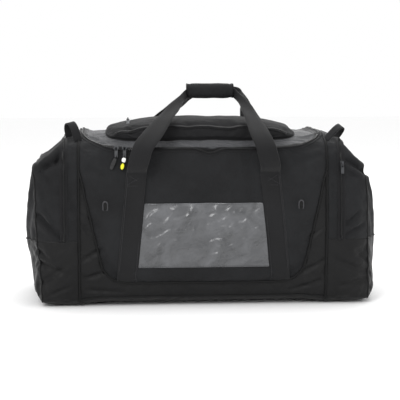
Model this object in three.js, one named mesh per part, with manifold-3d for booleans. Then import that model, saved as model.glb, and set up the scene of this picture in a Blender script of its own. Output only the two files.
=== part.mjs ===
// A large hockey equipment bag: a soft box with a zipped lid, two zipped end compartments with
// hard-wearing boots, and a pair of webbing handles that meet over the lid in a wrap grip.
// Millimetres. X runs along the bag, -Y is its front, +Z is up, and the origin is the middle of the base.

import * as THREE from "three";
import { mergeVertices } from "three/addons/utils/BufferGeometryUtils.js";
import Module from "manifold-3d";

// Overall sizes.
const LENGTH = 918;
const DEPTH = 400;
const HEIGHT = 448; // floor to the crown of the lid
const CROWN_RISE = 38; // front and back shoulder to crown
const END_LENGTH = 143; // an end compartment, from its seam to the end of the bag

// Fabric and clearances.
const WALL = 3; // outer fabric, foam and lining
const WEBBING = 2.5;
const TRIM = 1.6; // thickness of a sewn-on panel
const GAP = 0.4; // between pieces that lie against each other
const PIPING_WIDTH = 5;
const PIPING_RISE = 3.5;

// Panels.
const CAP_HEIGHT = 170; // the boots of the end compartments
const GUSSET_WIDTH = 32; // between the main seam and the end zip
const BASE_EDGE = 20; // how far the base fabric turns up
const BAND_HEIGHT = 60; // lowest point of the curved seam of the front and back panels
const BAND_INSET = 66; // from the main seam to the end of its lowest run
const BAND_CORNER = 45;
const BAND_DROP = 55; // from the shoulder down to where it meets the main seam
const CAP_PIPING_INSET = 33; // from the end of the bag to the piping round the end panel

// Lid and zips.
const LID_INSET = 28; // from the front of the bag to the lid's edge
const LID_FRONT_RADIUS = 75;
const LID_BACK_RADIUS = 8;
const MAIN_TAPE = 9; // the zip tape on the bag's side
const LID_TAPE = 8;
const END_TAPE = 12;
const CHAIN = 5;
const CHAIN_RISE = 2;
const POCKET_SIDE = 60; // from the lid's edge to the pocket, at its ends
const POCKET_FRONT = 48; // and at its front and back
const POCKET_RISE = 30;
const POCKET_RADIUS = 50;
const POCKET_ZIP_END = 25; // from the pocket's end to its zip
const POCKET_ZIP_INSET = 4;

// Sewn straps, handles and grip.
const STRAP_WIDTH = 50;
const STRAP_INSET = 53; // from the end of the curved seam's lowest run to a strap's centre line there
const STRAP_LEAN = 27; // how far the straps lean in up to the stitched cross, where the handle leaves the bag
const STRAP_DROP = 65; // from the shoulder down to the stitched cross
const HANDLE_REACH = 107.5; // from the crown of the lid to the top of the handles
const HANDLE_BAND = 22; // height of the band inside the grip
const HANDLE_TUCK = 14; // how far the legs lean in from the cross to the shoulder
const HANDLE_NARROW = 1; // the webbing's outer edge draws in as much at the shoulder
const HANDLE_FLARE = 26; // and the legs still spread by this across the band
const HANDLE_MOUTH = 4; // from the grip's end to where the legs part
const LEG_SPREAD = 107.5; // from the middle to a leg, half way up
const LEG_DROP = 67; // half way up, below the band
const LEG_SHIFT = 27; // how far the grip has dragged the legs there
const HANDLE_SHIFT = 30; // the grip has slid this far towards +X
const HANDLE_BOW = 22; // how far the legs stand off the front at the shoulder
const HANDLE_CLEAR = 10; // from the middle of the bag to each band
const GRIP_LENGTH = 124;
const GRIP_HALF_DEPTH = 22;
const GRIP_WALL = 5;
const GRIP_MARGIN = 2.5; // room above and below the bands
const FLAP = 4;

// Name panel and vents.
const NAME_DROP = 79; // from the stitched cross down to the name panel
const NAME_LIFT = 42; // and from the curved seam up to it
const VENT_INSET = 66; // from the main seam
const VENT_DROP = 151; // from the shoulder
const VENT_WIDTH = 20;
const VENT_HEIGHT = 32;
const VENT_SLOT_WIDTH = 8;
const VENT_SLOT_HEIGHT = 22;

// Sliders and their pulls.
const SLIDER_LENGTH = 13;
const SLIDER_WIDTH = 9;
const SLIDER_RISE = 4;
const STAPLE = 8.5;
const STAPLE_HOLE = 3;
const STAPLE_WIDTH = 3.4;
const TAB_WIDTH = 8;
const TAB_LENGTH = 26;
const TAB_THICKNESS = 1.8;
const TAB_SLOT_WIDTH = 4.8;
const TAB_SLOT_LENGTH = 8;
const PULLER_WIDTH = 9;
const PULLER_THICKNESS = 4.5;
const PULLER_LENGTH = 32;
const HANG = 9; // degrees that a resting pull leans out, clear of the front
const POCKET_DROOP = 6; // degrees that the pocket's pull droops towards the fabric
const SLIDER_CLEAR = 5; // from the handle's leg to the nearer slider
const SLIDER_PITCH = 21; // between the two sliders of the main zip
const POCKET_SLIDER_END = 31; // from the end of the pocket's zip
const END_SLIDER_DROP = 46; // from the shoulder, at the front
const END_SLIDER_LIFT = 50; // above the boot, at the back

// Grab loops at the front top corners.
const LOOP_WEBBING = 20;
const LOOP_SPAN = 39;
const LOOP_RISE = 44;
const LOOP_TURN = 78; // degrees from the bag's length
const LOOP_Y = -132;

// Values that follow from them.
const HALF_LENGTH = LENGTH / 2;
const HALF_DEPTH = DEPTH / 2;
const SHOULDER = HEIGHT - CROWN_RISE;
const SEAM_X = HALF_LENGTH - END_LENGTH;
const END_ZIP_X = SEAM_X + GUSSET_WIDTH;
const BAND_HALF = SEAM_X - BAND_INSET;
const BAND_TOP = SHOULDER - BAND_DROP;
const CAP_PIPING_X = HALF_LENGTH - CAP_PIPING_INSET;
const LID_X = SEAM_X - MAIN_TAPE - 2 * GAP;
const LID_Y = HALF_DEPTH - LID_INSET;
const POCKET_HALF = LID_X - POCKET_SIDE;
const POCKET_HALF_DEPTH = LID_Y - POCKET_FRONT;
const POCKET_ZIP_HALF = POCKET_HALF - POCKET_ZIP_END;
const STRAP_LOW_X = BAND_HALF - STRAP_INSET;
const STRAP_HIGH_X = STRAP_LOW_X - STRAP_LEAN;
const STRAP_TOP = SHOULDER - STRAP_DROP;
const HANDLE_TOP = HEIGHT + HANDLE_REACH;
const HANDLE_BASE = HANDLE_TOP - HANDLE_BAND;
const NAME_TOP = STRAP_TOP - NAME_DROP;
const NAME_BOTTOM = BAND_HEIGHT + NAME_LIFT;
const VENT_X = SEAM_X - VENT_INSET;
const VENT_Z = SHOULDER - VENT_DROP;
const SLIDER_B_X = -(STRAP_HIGH_X + STRAP_WIDTH / 2 + SLIDER_CLEAR);
const SLIDER_A_X = SLIDER_B_X - SLIDER_PITCH;
const POCKET_SLIDER_X = POCKET_SLIDER_END - POCKET_ZIP_HALF;
const HINGE_RISE = CHAIN_RISE + GAP + SLIDER_RISE + STAPLE / 2; // slider hinge above the fabric
const FAR = 2 * (LENGTH + DEPTH + HEIGHT); // a length past everything, for cutting

const wasm = await Module();
wasm.setup();

// ---------------------------------------------------------------- solids

function toSolid(geometry) {
  const bare = geometry.clone();
  bare.deleteAttribute("normal");
  bare.deleteAttribute("uv");
  const merged = mergeVertices(bare, 1e-3);
  return new wasm.Manifold(
    new wasm.Mesh({
      numProp: 3,
      vertProperties: merged.attributes.position.array,
      triVerts: new Uint32Array(merged.index.array),
    }),
  );
}

function toGeometry(solid) {
  const { vertProperties, triVerts } = solid.getMesh();
  const geometry = new THREE.BufferGeometry();
  geometry.setAttribute("position", new THREE.BufferAttribute(vertProperties, 3));
  geometry.setIndex(new THREE.BufferAttribute(triVerts, 1));
  const flat = geometry.toNonIndexed();
  flat.computeVertexNormals();
  return flat;
}

// Each view's first and second axes are the drawing's, and its third is the way a prism grows.
const axis = (x, y, z) => new THREE.Vector3(x, y, z);
const VIEWS = {
  front: new THREE.Matrix4().makeBasis(axis(1, 0, 0), axis(0, 0, 1), axis(0, -1, 0)),
  side: new THREE.Matrix4().makeBasis(axis(0, 1, 0), axis(0, 0, 1), axis(1, 0, 0)),
  top: new THREE.Matrix4().makeBasis(axis(1, 0, 0), axis(0, 1, 0), axis(0, 0, 1)),
};

function prism(view, points, from = -FAR, to = FAR) {
  const shape = new THREE.Shape(points.map(([u, v]) => new THREE.Vector2(u, v)));
  const geometry = new THREE.ExtrudeGeometry(shape, { depth: to - from, bevelEnabled: false });
  geometry.translate(0, 0, from);
  geometry.applyMatrix4(VIEWS[view]);
  return toSolid(geometry);
}

function box(x, y, z) {
  const geometry = new THREE.BoxGeometry(x[1] - x[0], y[1] - y[0], z[1] - z[0]);
  geometry.translate((x[0] + x[1]) / 2, (y[0] + y[1]) / 2, (z[0] + z[1]) / 2);
  return toSolid(geometry);
}

const EVERYWHERE = [-FAR, FAR];

// The part of space between two distances from the middle plane, on one side of it.
function slab(side, near, far) {
  return box(side > 0 ? [near, far] : [-far, -near], EVERYWHERE, EVERYWHERE);
}

const above = (z) => box(EVERYWHERE, EVERYWHERE, [z, FAR]);
const below = (z) => box(EVERYWHERE, EVERYWHERE, [-FAR, z]);
const centre = (half) => box([-half, half], EVERYWHERE, EVERYWHERE);
const halfSpace = {
  front: box(EVERYWHERE, [-FAR, 0], EVERYWHERE),
  back: box(EVERYWHERE, [0, FAR], EVERYWHERE),
};

// ---------------------------------------------------------------- outlines

const ARC_STEP = THREE.MathUtils.degToRad(12);

// A convex outline, counter-clockwise, from its sharp corners [u, v, radius], moved out by grow.
function outline(corners, grow = 0) {
  const count = corners.length;
  const point = (i) => new THREE.Vector2(...corners[(i + count) % count]);
  const heading = (i) => point(i + 1).sub(point(i)).normalize();
  const outward = (way) => new THREE.Vector2(way.y, -way.x);
  const moved = corners.map((_, i) => {
    const before = outward(heading(i - 1));
    const after = outward(heading(i));
    return point(i).addScaledVector(before.clone().add(after), grow / (1 + before.dot(after)));
  });
  const edge = (i) => moved[(i + 1) % count].distanceTo(moved[(i + count) % count]);
  return corners.flatMap(([, , radius], i) => {
    const before = heading(i - 1);
    const after = heading(i);
    const turn = Math.acos(before.dot(after));
    const room = 0.48 * Math.min(edge((i + count - 1) % count), edge(i));
    const fillet = Math.min(Math.max(radius + grow, 1), room / Math.tan(turn / 2));
    const start = moved[i].clone().addScaledVector(before, -fillet * Math.tan(turn / 2));
    const hub = start.clone().addScaledVector(outward(before), -fillet);
    const first = outward(before).angle();
    const steps = Math.ceil(turn / ARC_STEP);
    return Array.from({ length: steps + 1 }, (_, step) => {
      const angle = first + (turn * step) / steps;
      return [hub.x + fillet * Math.cos(angle), hub.y + fillet * Math.sin(angle)];
    });
  });
}

// The right half of a symmetrical outline, bottom to top, completed by its mirror image.
function symmetrical(half) {
  return [...half, ...half.map(([u, v, radius]) => [-u, v, radius]).reverse()];
}

const frontCorners = symmetrical([
  [HALF_LENGTH - 12, 0, 50],
  [HALF_LENGTH, (CAP_HEIGHT + SHOULDER) / 2, 200],
  [HALF_LENGTH - 28, SHOULDER - 55, 90],
  [HALF_LENGTH - 102, SHOULDER + 0.4 * CROWN_RISE, 70],
  [HALF_LENGTH - 185, HEIGHT, 250],
]);

const sideCorners = symmetrical([
  [HALF_DEPTH - 12, 0, 35],
  [HALF_DEPTH, SHOULDER / 2, 400],
  [HALF_DEPTH - 18, SHOULDER, 50],
  [0.35 * HALF_DEPTH, HEIGHT, 200],
]);

const planCorners = symmetrical([
  [HALF_LENGTH - 6, -HALF_DEPTH, 85],
  [HALF_LENGTH, 0, 600],
  [HALF_LENGTH - 6, HALF_DEPTH, 85],
]);

const lidCorners = symmetrical([
  [LID_X, -LID_Y, LID_FRONT_RADIUS],
  [LID_X, LID_Y, LID_BACK_RADIUS],
]);

// The curved seam of the front and back panels, a trough that widens upwards.
const troughSlope = (SEAM_X - BAND_HALF) / (BAND_TOP - BAND_HEIGHT);
const troughCorners = symmetrical([
  [BAND_HALF, BAND_HEIGHT, BAND_CORNER],
  [BAND_HALF + troughSlope * (HEIGHT + CROWN_RISE - BAND_HEIGHT), HEIGHT + CROWN_RISE, 1],
]);

function rectangle(halfU, halfV, radius, u = 0, v = 0) {
  return [
    [u + halfU, v - halfV, radius],
    [u + halfU, v + halfV, radius],
    [u - halfU, v + halfV, radius],
    [u - halfU, v - halfV, radius],
  ];
}

// ---------------------------------------------------------------- the bag's skin

// The whole bag as one solid, moved out by grow.
const bodies = new Map();
function body(grow) {
  if (!bodies.has(grow)) {
    const solid = prism("front", outline(frontCorners, grow))
      .intersect(prism("side", outline(sideCorners, grow)))
      .intersect(prism("top", outline(planCorners, grow)));
    bodies.set(grow, solid);
  }
  return bodies.get(grow);
}

// Everything between two distances from the skin; the fabric itself lies from -WALL to 0.
const layer = (inner, outer) => body(outer).subtract(body(inner));
const fabric = layer(-WALL, 0);
const raised = (thickness) => layer(GAP, GAP + thickness);

// The height and lean, in degrees above level, of the skin over the front at depth y.
function skinPoint(y, grow) {
  const points = outline(sideCorners, grow);
  const i = points.findIndex(([u, v], at) => {
    const [nextU] = points[(at + 1) % points.length];
    return v > SHOULDER / 2 && nextU <= u && u >= -y && nextU <= -y;
  });
  const [[u0, v0], [u1, v1]] = [points[i], points[i + 1]];
  const z = v0 + ((v1 - v0) * (u0 + y)) / (u0 - u1);
  return { y, z, lean: THREE.MathUtils.radToDeg(Math.atan2(u0 - u1, v1 - v0)) };
}

// ---------------------------------------------------------------- materials

const material = (color, roughness, metalness = 0) =>
  new THREE.MeshStandardMaterial({ color, roughness, metalness, flatShading: true });
const POLYESTER = material(0x2e2f31, 0.85);
const LID_CLOTH = material(0x34353a, 0.75);
const COATED = material(0x29292b, 0.5);
const TARPAULIN = material(0x55565a, 0.35);
const NYLON = material(0x2a2b2e, 0.7);
const ZIP_TAPE = material(0x18181a, 0.8);
const CORD_EDGE = material(0x121213, 0.6);
const LINING = material(0x3a3b3d, 0.9);
const ZINC = material(0xb9bbbd, 0.35, 1);
const RUBBER = material(0x141414, 0.6);
const WHITE_RUBBER = material(0xf4f4f2, 0.5);

// ---------------------------------------------------------------- assembly

const bag = new THREE.Group();

function add(name, solid, finish, parent = bag) {
  const mesh = new THREE.Mesh(toGeometry(solid), finish);
  mesh.name = name;
  parent.add(mesh);
  return mesh;
}

const SIDES = { left: -1, right: 1 };
const FACES = { front: -1, back: 1 };
const HALF_GAP = GAP / 2;

function lidPrism(grow) {
  return prism("top", outline(lidCorners, grow), SHOULDER / 2, FAR);
}

function panels() {
  const main = fabric.intersect(centre(SEAM_X - HALF_GAP));
  const wall = main.intersect(above(BASE_EDGE + HALF_GAP));
  const zipped = {
    front: lidPrism(MAIN_TAPE + 2 * GAP),
    back: box(EVERYWHERE, [-FAR, LID_Y + GAP], [SHOULDER / 2, FAR]),
  };
  const slots = ventPrism(VENT_SLOT_WIDTH, VENT_SLOT_HEIGHT);
  for (const face of Object.keys(FACES)) {
    const half = wall.intersect(halfSpace[face]);
    const upper = half
      .intersect(prism("front", outline(troughCorners, -HALF_GAP)))
      .subtract(zipped[face])
      .subtract(slots);
    const lower = half
      .subtract(prism("front", outline(troughCorners, HALF_GAP)))
      .intersect(below(BAND_TOP - PIPING_WIDTH));
    add(`${face}_panel`, upper, POLYESTER);
    add(`${face}_band`, lower, COATED);
  }
  add("bottom_panel", main.intersect(below(BASE_EDGE - HALF_GAP)), COATED);
}

function ventPrism(width, height) {
  const [left, right] = [-VENT_X, VENT_X].map((x) =>
    prism("front", outline(rectangle(width / 2, height / 2, width / 2 - 0.5, x, VENT_Z))),
  );
  return left.add(right);
}

function ends() {
  for (const [name, side] of Object.entries(SIDES)) {
    const upper = fabric.intersect(above(CAP_HEIGHT + HALF_GAP));
    const lower = fabric.intersect(below(CAP_HEIGHT - HALF_GAP));
    const tape = upper.intersect(slab(side, END_ZIP_X + HALF_GAP, END_ZIP_X + END_TAPE - HALF_GAP));
    const chainStart = END_ZIP_X + (END_TAPE - CHAIN) / 2;
    const chain = layer(-1, CHAIN_RISE)
      .intersect(slab(side, chainStart, chainStart + CHAIN))
      .intersect(above(CAP_HEIGHT + HALF_GAP));
    add(`gusset_${name}`, upper.intersect(slab(side, SEAM_X + HALF_GAP, END_ZIP_X - HALF_GAP)), POLYESTER);
    add(`end_zip_${name}`, tape.add(chain), ZIP_TAPE);
    add(`end_door_${name}`, upper.intersect(slab(side, END_ZIP_X + END_TAPE + HALF_GAP, FAR)), POLYESTER);
    add(`end_cap_${name}`, lower.intersect(slab(side, SEAM_X + HALF_GAP, FAR)), COATED);
    const inside = body(-WALL - GAP).intersect(slab(side, SEAM_X - WALL / 2, SEAM_X + WALL / 2));
    add(`divider_${name}`, inside, LINING);
  }
}

function piping() {
  const cord = layer(GAP, PIPING_RISE);
  const half = PIPING_WIDTH / 2;
  const trough = prism("front", outline(troughCorners, half))
    .subtract(prism("front", outline(troughCorners, -half)))
    .intersect(centre(SEAM_X - PIPING_WIDTH))
    .intersect(below(BAND_TOP));
  for (const face of Object.keys(FACES)) {
    add(`piping_${face}_curve`, cord.intersect(trough).intersect(halfSpace[face]), CORD_EDGE);
  }
  for (const [name, side] of Object.entries(SIDES)) {
    const seam = slab(side, SEAM_X - half, SEAM_X + half).intersect(above(BASE_EDGE));
    add(`piping_seam_${name}`, cord.intersect(seam), CORD_EDGE);
    const corner = slab(side, CAP_PIPING_X - half, CAP_PIPING_X + half);
    const upright = corner.intersect(box(EVERYWHERE, EVERYWHERE, [BASE_EDGE, CAP_HEIGHT - GAP]));
    const brow = slab(side, CAP_PIPING_X, FAR)
      .intersect(box(EVERYWHERE, EVERYWHERE, [CAP_HEIGHT - PIPING_WIDTH, CAP_HEIGHT - GAP]));
    add(`piping_cap_${name}`, cord.intersect(upright.add(brow)), CORD_EDGE);
    add(`piping_door_${name}`, cord.intersect(corner).intersect(above(CAP_HEIGHT + GAP)), CORD_EDGE);
  }
}

// The lid, its two zip tapes and the padded pocket on top of it.
function lid() {
  const front = box(EVERYWHERE, [-FAR, LID_Y], EVERYWHERE);
  const turning = box([-LID_X - GAP, LID_X + GAP], [0, FAR], EVERYWHERE);
  const opening = lidPrism(GAP).add(turning); // the lid's back corners swing through here
  const bagTape = lidPrism(GAP + MAIN_TAPE).subtract(opening).intersect(front);
  const chain = lidPrism(GAP + CHAIN).subtract(opening).intersect(front);
  add(
    "main_zip_bag_tape",
    fabric.intersect(bagTape).add(layer(-1, CHAIN_RISE).intersect(chain)),
    ZIP_TAPE,
  );
  const lidTape = (gap) =>
    lidPrism(gap)
      .subtract(lidPrism(-LID_TAPE - gap))
      .intersect(box(EVERYWHERE, [-FAR, LID_Y - LID_BACK_RADIUS - LID_TAPE + gap], EVERYWHERE));
  add("main_zip_lid_tape", fabric.intersect(lidTape(0)), ZIP_TAPE);
  add("lid_panel", fabric.intersect(lidPrism(0)).subtract(lidTape(GAP)), LID_CLOTH);

  const pocket = outline(rectangle(POCKET_HALF, POCKET_HALF_DEPTH, POCKET_RADIUS));
  add("lid_pocket", raised(POCKET_RISE).intersect(prism("top", pocket, SHOULDER, FAR)), LID_CLOTH);
  const zipY = POCKET_ZIP_INSET + CHAIN - POCKET_HALF_DEPTH;
  const strip = outline(rectangle(POCKET_ZIP_HALF, CHAIN, 2, 0, zipY));
  const onPocket = layer(POCKET_RISE + 2 * GAP, POCKET_RISE + 2 * GAP + CHAIN_RISE);
  add("lid_pocket_zip", onPocket.intersect(prism("top", strip, SHOULDER, FAR)), ZIP_TAPE);
  return zipY;
}

// The centre line of a sewn strap at height z.
function strapX(z) {
  return STRAP_HIGH_X + ((STRAP_LOW_X - STRAP_HIGH_X) * (STRAP_TOP - z)) / (STRAP_TOP - BAND_HEIGHT);
}

function straps() {
  const low = BAND_HEIGHT + PIPING_WIDTH / 2 + 2 * GAP;
  const high = STRAP_TOP;
  const half = STRAP_WIDTH / 2;
  const insidePiping = prism("front", outline(troughCorners, -PIPING_WIDTH / 2 - GAP));
  for (const [name, side] of Object.entries(SIDES)) {
    const strip = prism("front", [
      [side * (strapX(low) - half), low],
      [side * (strapX(low) + half), low],
      [side * (strapX(high) + half), high],
      [side * (strapX(high) - half), high],
    ]);
    for (const face of Object.keys(FACES)) {
      const strap = raised(WEBBING).intersect(strip).intersect(insidePiping).intersect(halfSpace[face]);
      add(`strap_${face}_${name}`, strap, NYLON);
    }
  }
  const namePanel = symmetrical([
    [strapX(NAME_BOTTOM) - half - 2 * GAP, NAME_BOTTOM, 1],
    [strapX(NAME_TOP) - half - 2 * GAP, NAME_TOP, 1],
  ]);
  const panel = raised(TRIM).intersect(prism("front", outline(namePanel)));
  add("name_panel", panel.intersect(halfSpace.front), TARPAULIN);
}

function vents() {
  const rim = ventPrism(VENT_WIDTH, VENT_HEIGHT).subtract(ventPrism(VENT_SLOT_WIDTH, VENT_SLOT_HEIGHT));
  for (const [name, side] of Object.entries(SIDES)) {
    for (const face of Object.keys(FACES)) {
      const eyelet = raised(TRIM).intersect(rim).intersect(halfSpace[face]).intersect(slab(side, 0, FAR));
      add(`vent_${face}_${name}`, eyelet, RUBBER);
    }
  }
}

// A strip of webbing that follows a curve in the side view, as wide as the prism it is cut with.
function bentStrip(points, thickness, steps) {
  const curve = new THREE.CatmullRomCurve3(points.map(([y, z]) => new THREE.Vector3(y, z, 0)));
  const edge = (offset) =>
    Array.from({ length: steps + 1 }, (_, step) => {
      const at = curve.getPointAt(step / steps);
      const way = curve.getTangentAt(step / steps);
      return [at.x - way.y * offset, at.y + way.x * offset];
    });
  return [...edge(-thickness / 2), ...edge(thickness / 2).reverse()];
}

// A handle in the front view: two legs that lean in to the band of the grip.
function handleOutline() {
  const half = STRAP_WIDTH / 2;
  const shoulderX = STRAP_HIGH_X - HANDLE_TUCK;
  const gripEnd = GRIP_LENGTH / 2 + HANDLE_MOUTH;
  const leg = (side) => ({
    outer: [
      [side * (STRAP_HIGH_X + half), STRAP_TOP],
      [side * (shoulderX + half - HANDLE_NARROW), SHOULDER - 7],
      [LEG_SHIFT + side * (LEG_SPREAD + half), HANDLE_BASE - LEG_DROP],
      [HANDLE_SHIFT + side * (gripEnd + HANDLE_FLARE), HANDLE_TOP],
    ],
    inner: [
      [HANDLE_SHIFT + side * gripEnd, HANDLE_BASE],
      [LEG_SHIFT + side * (LEG_SPREAD - half), HANDLE_BASE - LEG_DROP],
      [side * (shoulderX - half), SHOULDER - 17],
      [side * (STRAP_HIGH_X - half), STRAP_TOP],
    ],
  });
  const left = leg(-1);
  const right = leg(1);
  return [...left.outer, ...right.outer.reverse(), ...right.inner.reverse(), ...left.inner];
}

function handles() {
  const standOff = HALF_DEPTH + GAP + WEBBING + WALL;
  const profile = [
    [standOff, STRAP_TOP],
    [HALF_DEPTH + HANDLE_BOW - 1, STRAP_TOP + 32],
    [HALF_DEPTH + HANDLE_BOW, SHOULDER - 5],
    [HALF_DEPTH - 2, SHOULDER + 32],
    [0.7 * HALF_DEPTH, HANDLE_BASE - 47],
    [0.2 * HALF_DEPTH, HANDLE_BASE - 12],
    [HANDLE_CLEAR + 2, HANDLE_BASE],
    [HANDLE_CLEAR, HANDLE_TOP + 2],
  ];
  const shape = prism("front", handleOutline());
  for (const [face, side] of Object.entries(FACES)) {
    const mirrored = profile.map(([y, z]) => [side * y, z]);
    const sheet = prism("side", bentStrip(mirrored, WALL, 26));
    add(`${face}_handle`, sheet.intersect(shape), NYLON);
  }

  const gripX = [HANDLE_SHIFT - GRIP_LENGTH / 2, HANDLE_SHIFT + GRIP_LENGTH / 2];
  const hollow = [HANDLE_BASE - GRIP_MARGIN, HANDLE_TOP + GRIP_MARGIN];
  const shell = [hollow[0] - GRIP_WALL, hollow[1] + GRIP_WALL];
  const middle = (shell[0] + shell[1]) / 2;
  const round = outline(rectangle(GRIP_HALF_DEPTH, (shell[1] - shell[0]) / 2, 12, 0, middle));
  const cavity = box(EVERYWHERE, [GRIP_WALL + 1 - GRIP_HALF_DEPTH, FAR], hollow);
  add("grip_pad", prism("side", round, ...gripX).subtract(cavity), NYLON);
  const flapY = [GRIP_HALF_DEPTH + GAP, GRIP_HALF_DEPTH + GAP + FLAP];
  add("grip_flap", box(gripX, flapY, shell), NYLON);
}

// ---------------------------------------------------------------- sliders and pulls

// A slider seen with the fabric behind it: -Y stands away from the fabric.
function sliderSolid(width, length) {
  const seat = CHAIN_RISE + GAP;
  const block = prism("front", outline(rectangle(width / 2, length / 2, 2.5)), seat, seat + SLIDER_RISE);
  const top = seat + SLIDER_RISE;
  const staple = box(
    [-STAPLE_WIDTH / 2, STAPLE_WIDTH / 2],
    [-top - STAPLE, 0.5 - top],
    [-STAPLE_HOLE, STAPLE_HOLE],
  );
  const half = STAPLE_HOLE / 2;
  const hole = box(EVERYWHERE, [-HINGE_RISE - half, half - HINGE_RISE], [-half, half]);
  return block.add(staple.subtract(hole));
}

// A pull hanging from a hinge at its own origin.
function tabSolid() {
  const bar = TAB_THICKNESS / 2;
  const plate = prism(
    "front",
    outline(rectangle(TAB_WIDTH / 2, (TAB_LENGTH + bar) / 2, 0.8, 0, (bar - TAB_LENGTH) / 2)),
    -bar,
    bar,
  );
  const slot = box(
    [-TAB_SLOT_WIDTH / 2, TAB_SLOT_WIDTH / 2],
    EVERYWHERE,
    [-bar - TAB_SLOT_LENGTH, -bar],
  );
  return plate.subtract(slot);
}

function pullerSolid() {
  const middle = -TAB_LENGTH - GAP - PULLER_LENGTH / 2;
  const half = PULLER_THICKNESS / 2;
  return prism("front", outline(rectangle(PULLER_WIDTH / 2, PULLER_LENGTH / 2, 3, 0, middle)), -half, half);
}

// A group at a point of the skin whose -Y stands away from the fabric, and the hinge of the slider there.
function seat(x, point, face = "front") {
  const turned = new THREE.Group();
  turned.rotation.z = face === "back" ? Math.PI : 0;
  const place = new THREE.Group();
  place.position.set(face === "back" ? -x : x, point.y, point.z);
  place.rotation.x = -THREE.MathUtils.degToRad(point.lean);
  turned.add(place);
  const hinge = new THREE.Group();
  hinge.position.set(0, -HINGE_RISE, 0);
  place.add(hinge);
  bag.add(turned);
  return { place, hinge, lean: point.lean };
}

// Turns a hinge's group so that the pull leans out from straight down by the given angle.
function hang({ hinge, lean }, angle) {
  hinge.rotation.x = THREE.MathUtils.degToRad(lean - angle);
}

function sliders(pocketZipY) {
  const across = sliderSolid(SLIDER_LENGTH, SLIDER_WIDTH);
  const along = sliderSolid(SLIDER_WIDTH, SLIDER_LENGTH);
  const mainPoint = skinPoint(-LID_Y - GAP - CHAIN / 2, 0);
  const mainPulls = { a: [SLIDER_A_X, RUBBER], b: [SLIDER_B_X, WHITE_RUBBER] };
  for (const [name, [x, finish]] of Object.entries(mainPulls)) {
    const at = seat(x, mainPoint);
    hang(at, HANG);
    add(`main_slider_${name}`, across, ZINC, at.place);
    add(`main_tab_${name}`, tabSolid(), ZINC, at.hinge);
    add(`main_puller_${name}`, pullerSolid(), finish, at.hinge);
  }

  const endX = END_ZIP_X + END_TAPE / 2;
  const ends = {
    right: [endX, wallPoint(SHOULDER - END_SLIDER_DROP), "front"],
    left: [-endX, wallPoint(CAP_HEIGHT + END_SLIDER_LIFT), "back"],
  };
  for (const [name, [x, point, face]] of Object.entries(ends)) {
    const at = seat(x, point, face);
    hang(at, HANG);
    add(`end_slider_${name}`, along, ZINC, at.place);
    add(`end_tab_${name}`, tabSolid(), ZINC, at.hinge);
  }

  const onPocket = skinPoint(pocketZipY, POCKET_RISE + 2 * GAP);
  const at = seat(POCKET_SLIDER_X, onPocket);
  hang(at, onPocket.lean - POCKET_DROOP);
  add("pocket_slider", across, ZINC, at.place);
  add("pocket_tab", tabSolid(), ZINC, at.hinge);
}

// The depth and lean of the front wall at height z, between its widest line and the shoulder.
function wallPoint(z) {
  const [, [wide, low], [narrow, high]] = sideCorners;
  const slope = (wide - narrow) / (high - low);
  return { y: slope * (z - low) - wide, z, lean: THREE.MathUtils.radToDeg(Math.atan(slope)) };
}

// ---------------------------------------------------------------- grab loops

function grabLoops() {
  const half = LOOP_SPAN / 2;
  const arch = [
    [-half, -LOOP_RISE],
    [-half, 0.3 * LOOP_RISE],
    [-0.6 * half, 0.85 * LOOP_RISE],
    [0, LOOP_RISE],
    [0.6 * half, 0.85 * LOOP_RISE],
    [half, 0.3 * LOOP_RISE],
    [half, -LOOP_RISE],
  ];
  const x = SEAM_X + GUSSET_WIDTH / 2 + 1;
  const base = skinPoint(LOOP_Y, 0).z;
  const strip = bentStrip(arch, WEBBING, 24);
  for (const [name, side] of Object.entries(SIDES)) {
    const webbing = prism("side", strip, -LOOP_WEBBING / 2, LOOP_WEBBING / 2)
      .rotate([0, 0, side * (90 - LOOP_TURN)])
      .translate([side * x, LOOP_Y, base]);
    add(`grab_loop_${name}`, webbing.subtract(body(GAP)), NYLON);
  }
}

panels();
ends();
piping();
const pocketZipY = lid();
straps();
vents();
handles();
sliders(pocketZipY);
grabLoops();

export default bag;
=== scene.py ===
"""A hockey equipment bag: a sewn soft body, webbing handles, zips and trim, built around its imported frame.
Metres, X along the bag, -Y its front, +Z up."""

import math

import bmesh
import bpy
import numpy as np
from mathutils import Matrix, Vector, noise
from mathutils.bvhtree import BVHTree


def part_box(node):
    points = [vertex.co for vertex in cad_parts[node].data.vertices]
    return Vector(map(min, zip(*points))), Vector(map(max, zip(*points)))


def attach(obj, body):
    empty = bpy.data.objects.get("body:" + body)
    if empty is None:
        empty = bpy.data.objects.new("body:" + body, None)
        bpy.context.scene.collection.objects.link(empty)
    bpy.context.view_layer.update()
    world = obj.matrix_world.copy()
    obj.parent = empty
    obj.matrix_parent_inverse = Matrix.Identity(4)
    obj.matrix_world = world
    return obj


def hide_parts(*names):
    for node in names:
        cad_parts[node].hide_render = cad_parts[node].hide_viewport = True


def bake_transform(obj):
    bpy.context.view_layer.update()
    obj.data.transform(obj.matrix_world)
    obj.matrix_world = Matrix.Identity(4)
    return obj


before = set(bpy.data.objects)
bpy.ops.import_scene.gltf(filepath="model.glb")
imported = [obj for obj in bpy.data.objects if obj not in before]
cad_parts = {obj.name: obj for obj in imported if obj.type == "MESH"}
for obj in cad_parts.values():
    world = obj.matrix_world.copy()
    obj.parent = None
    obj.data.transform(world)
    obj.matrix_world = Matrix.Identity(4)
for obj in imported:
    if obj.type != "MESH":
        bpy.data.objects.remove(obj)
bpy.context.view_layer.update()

# ---------------------------------------------------------------- sizes, from the frame

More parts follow.
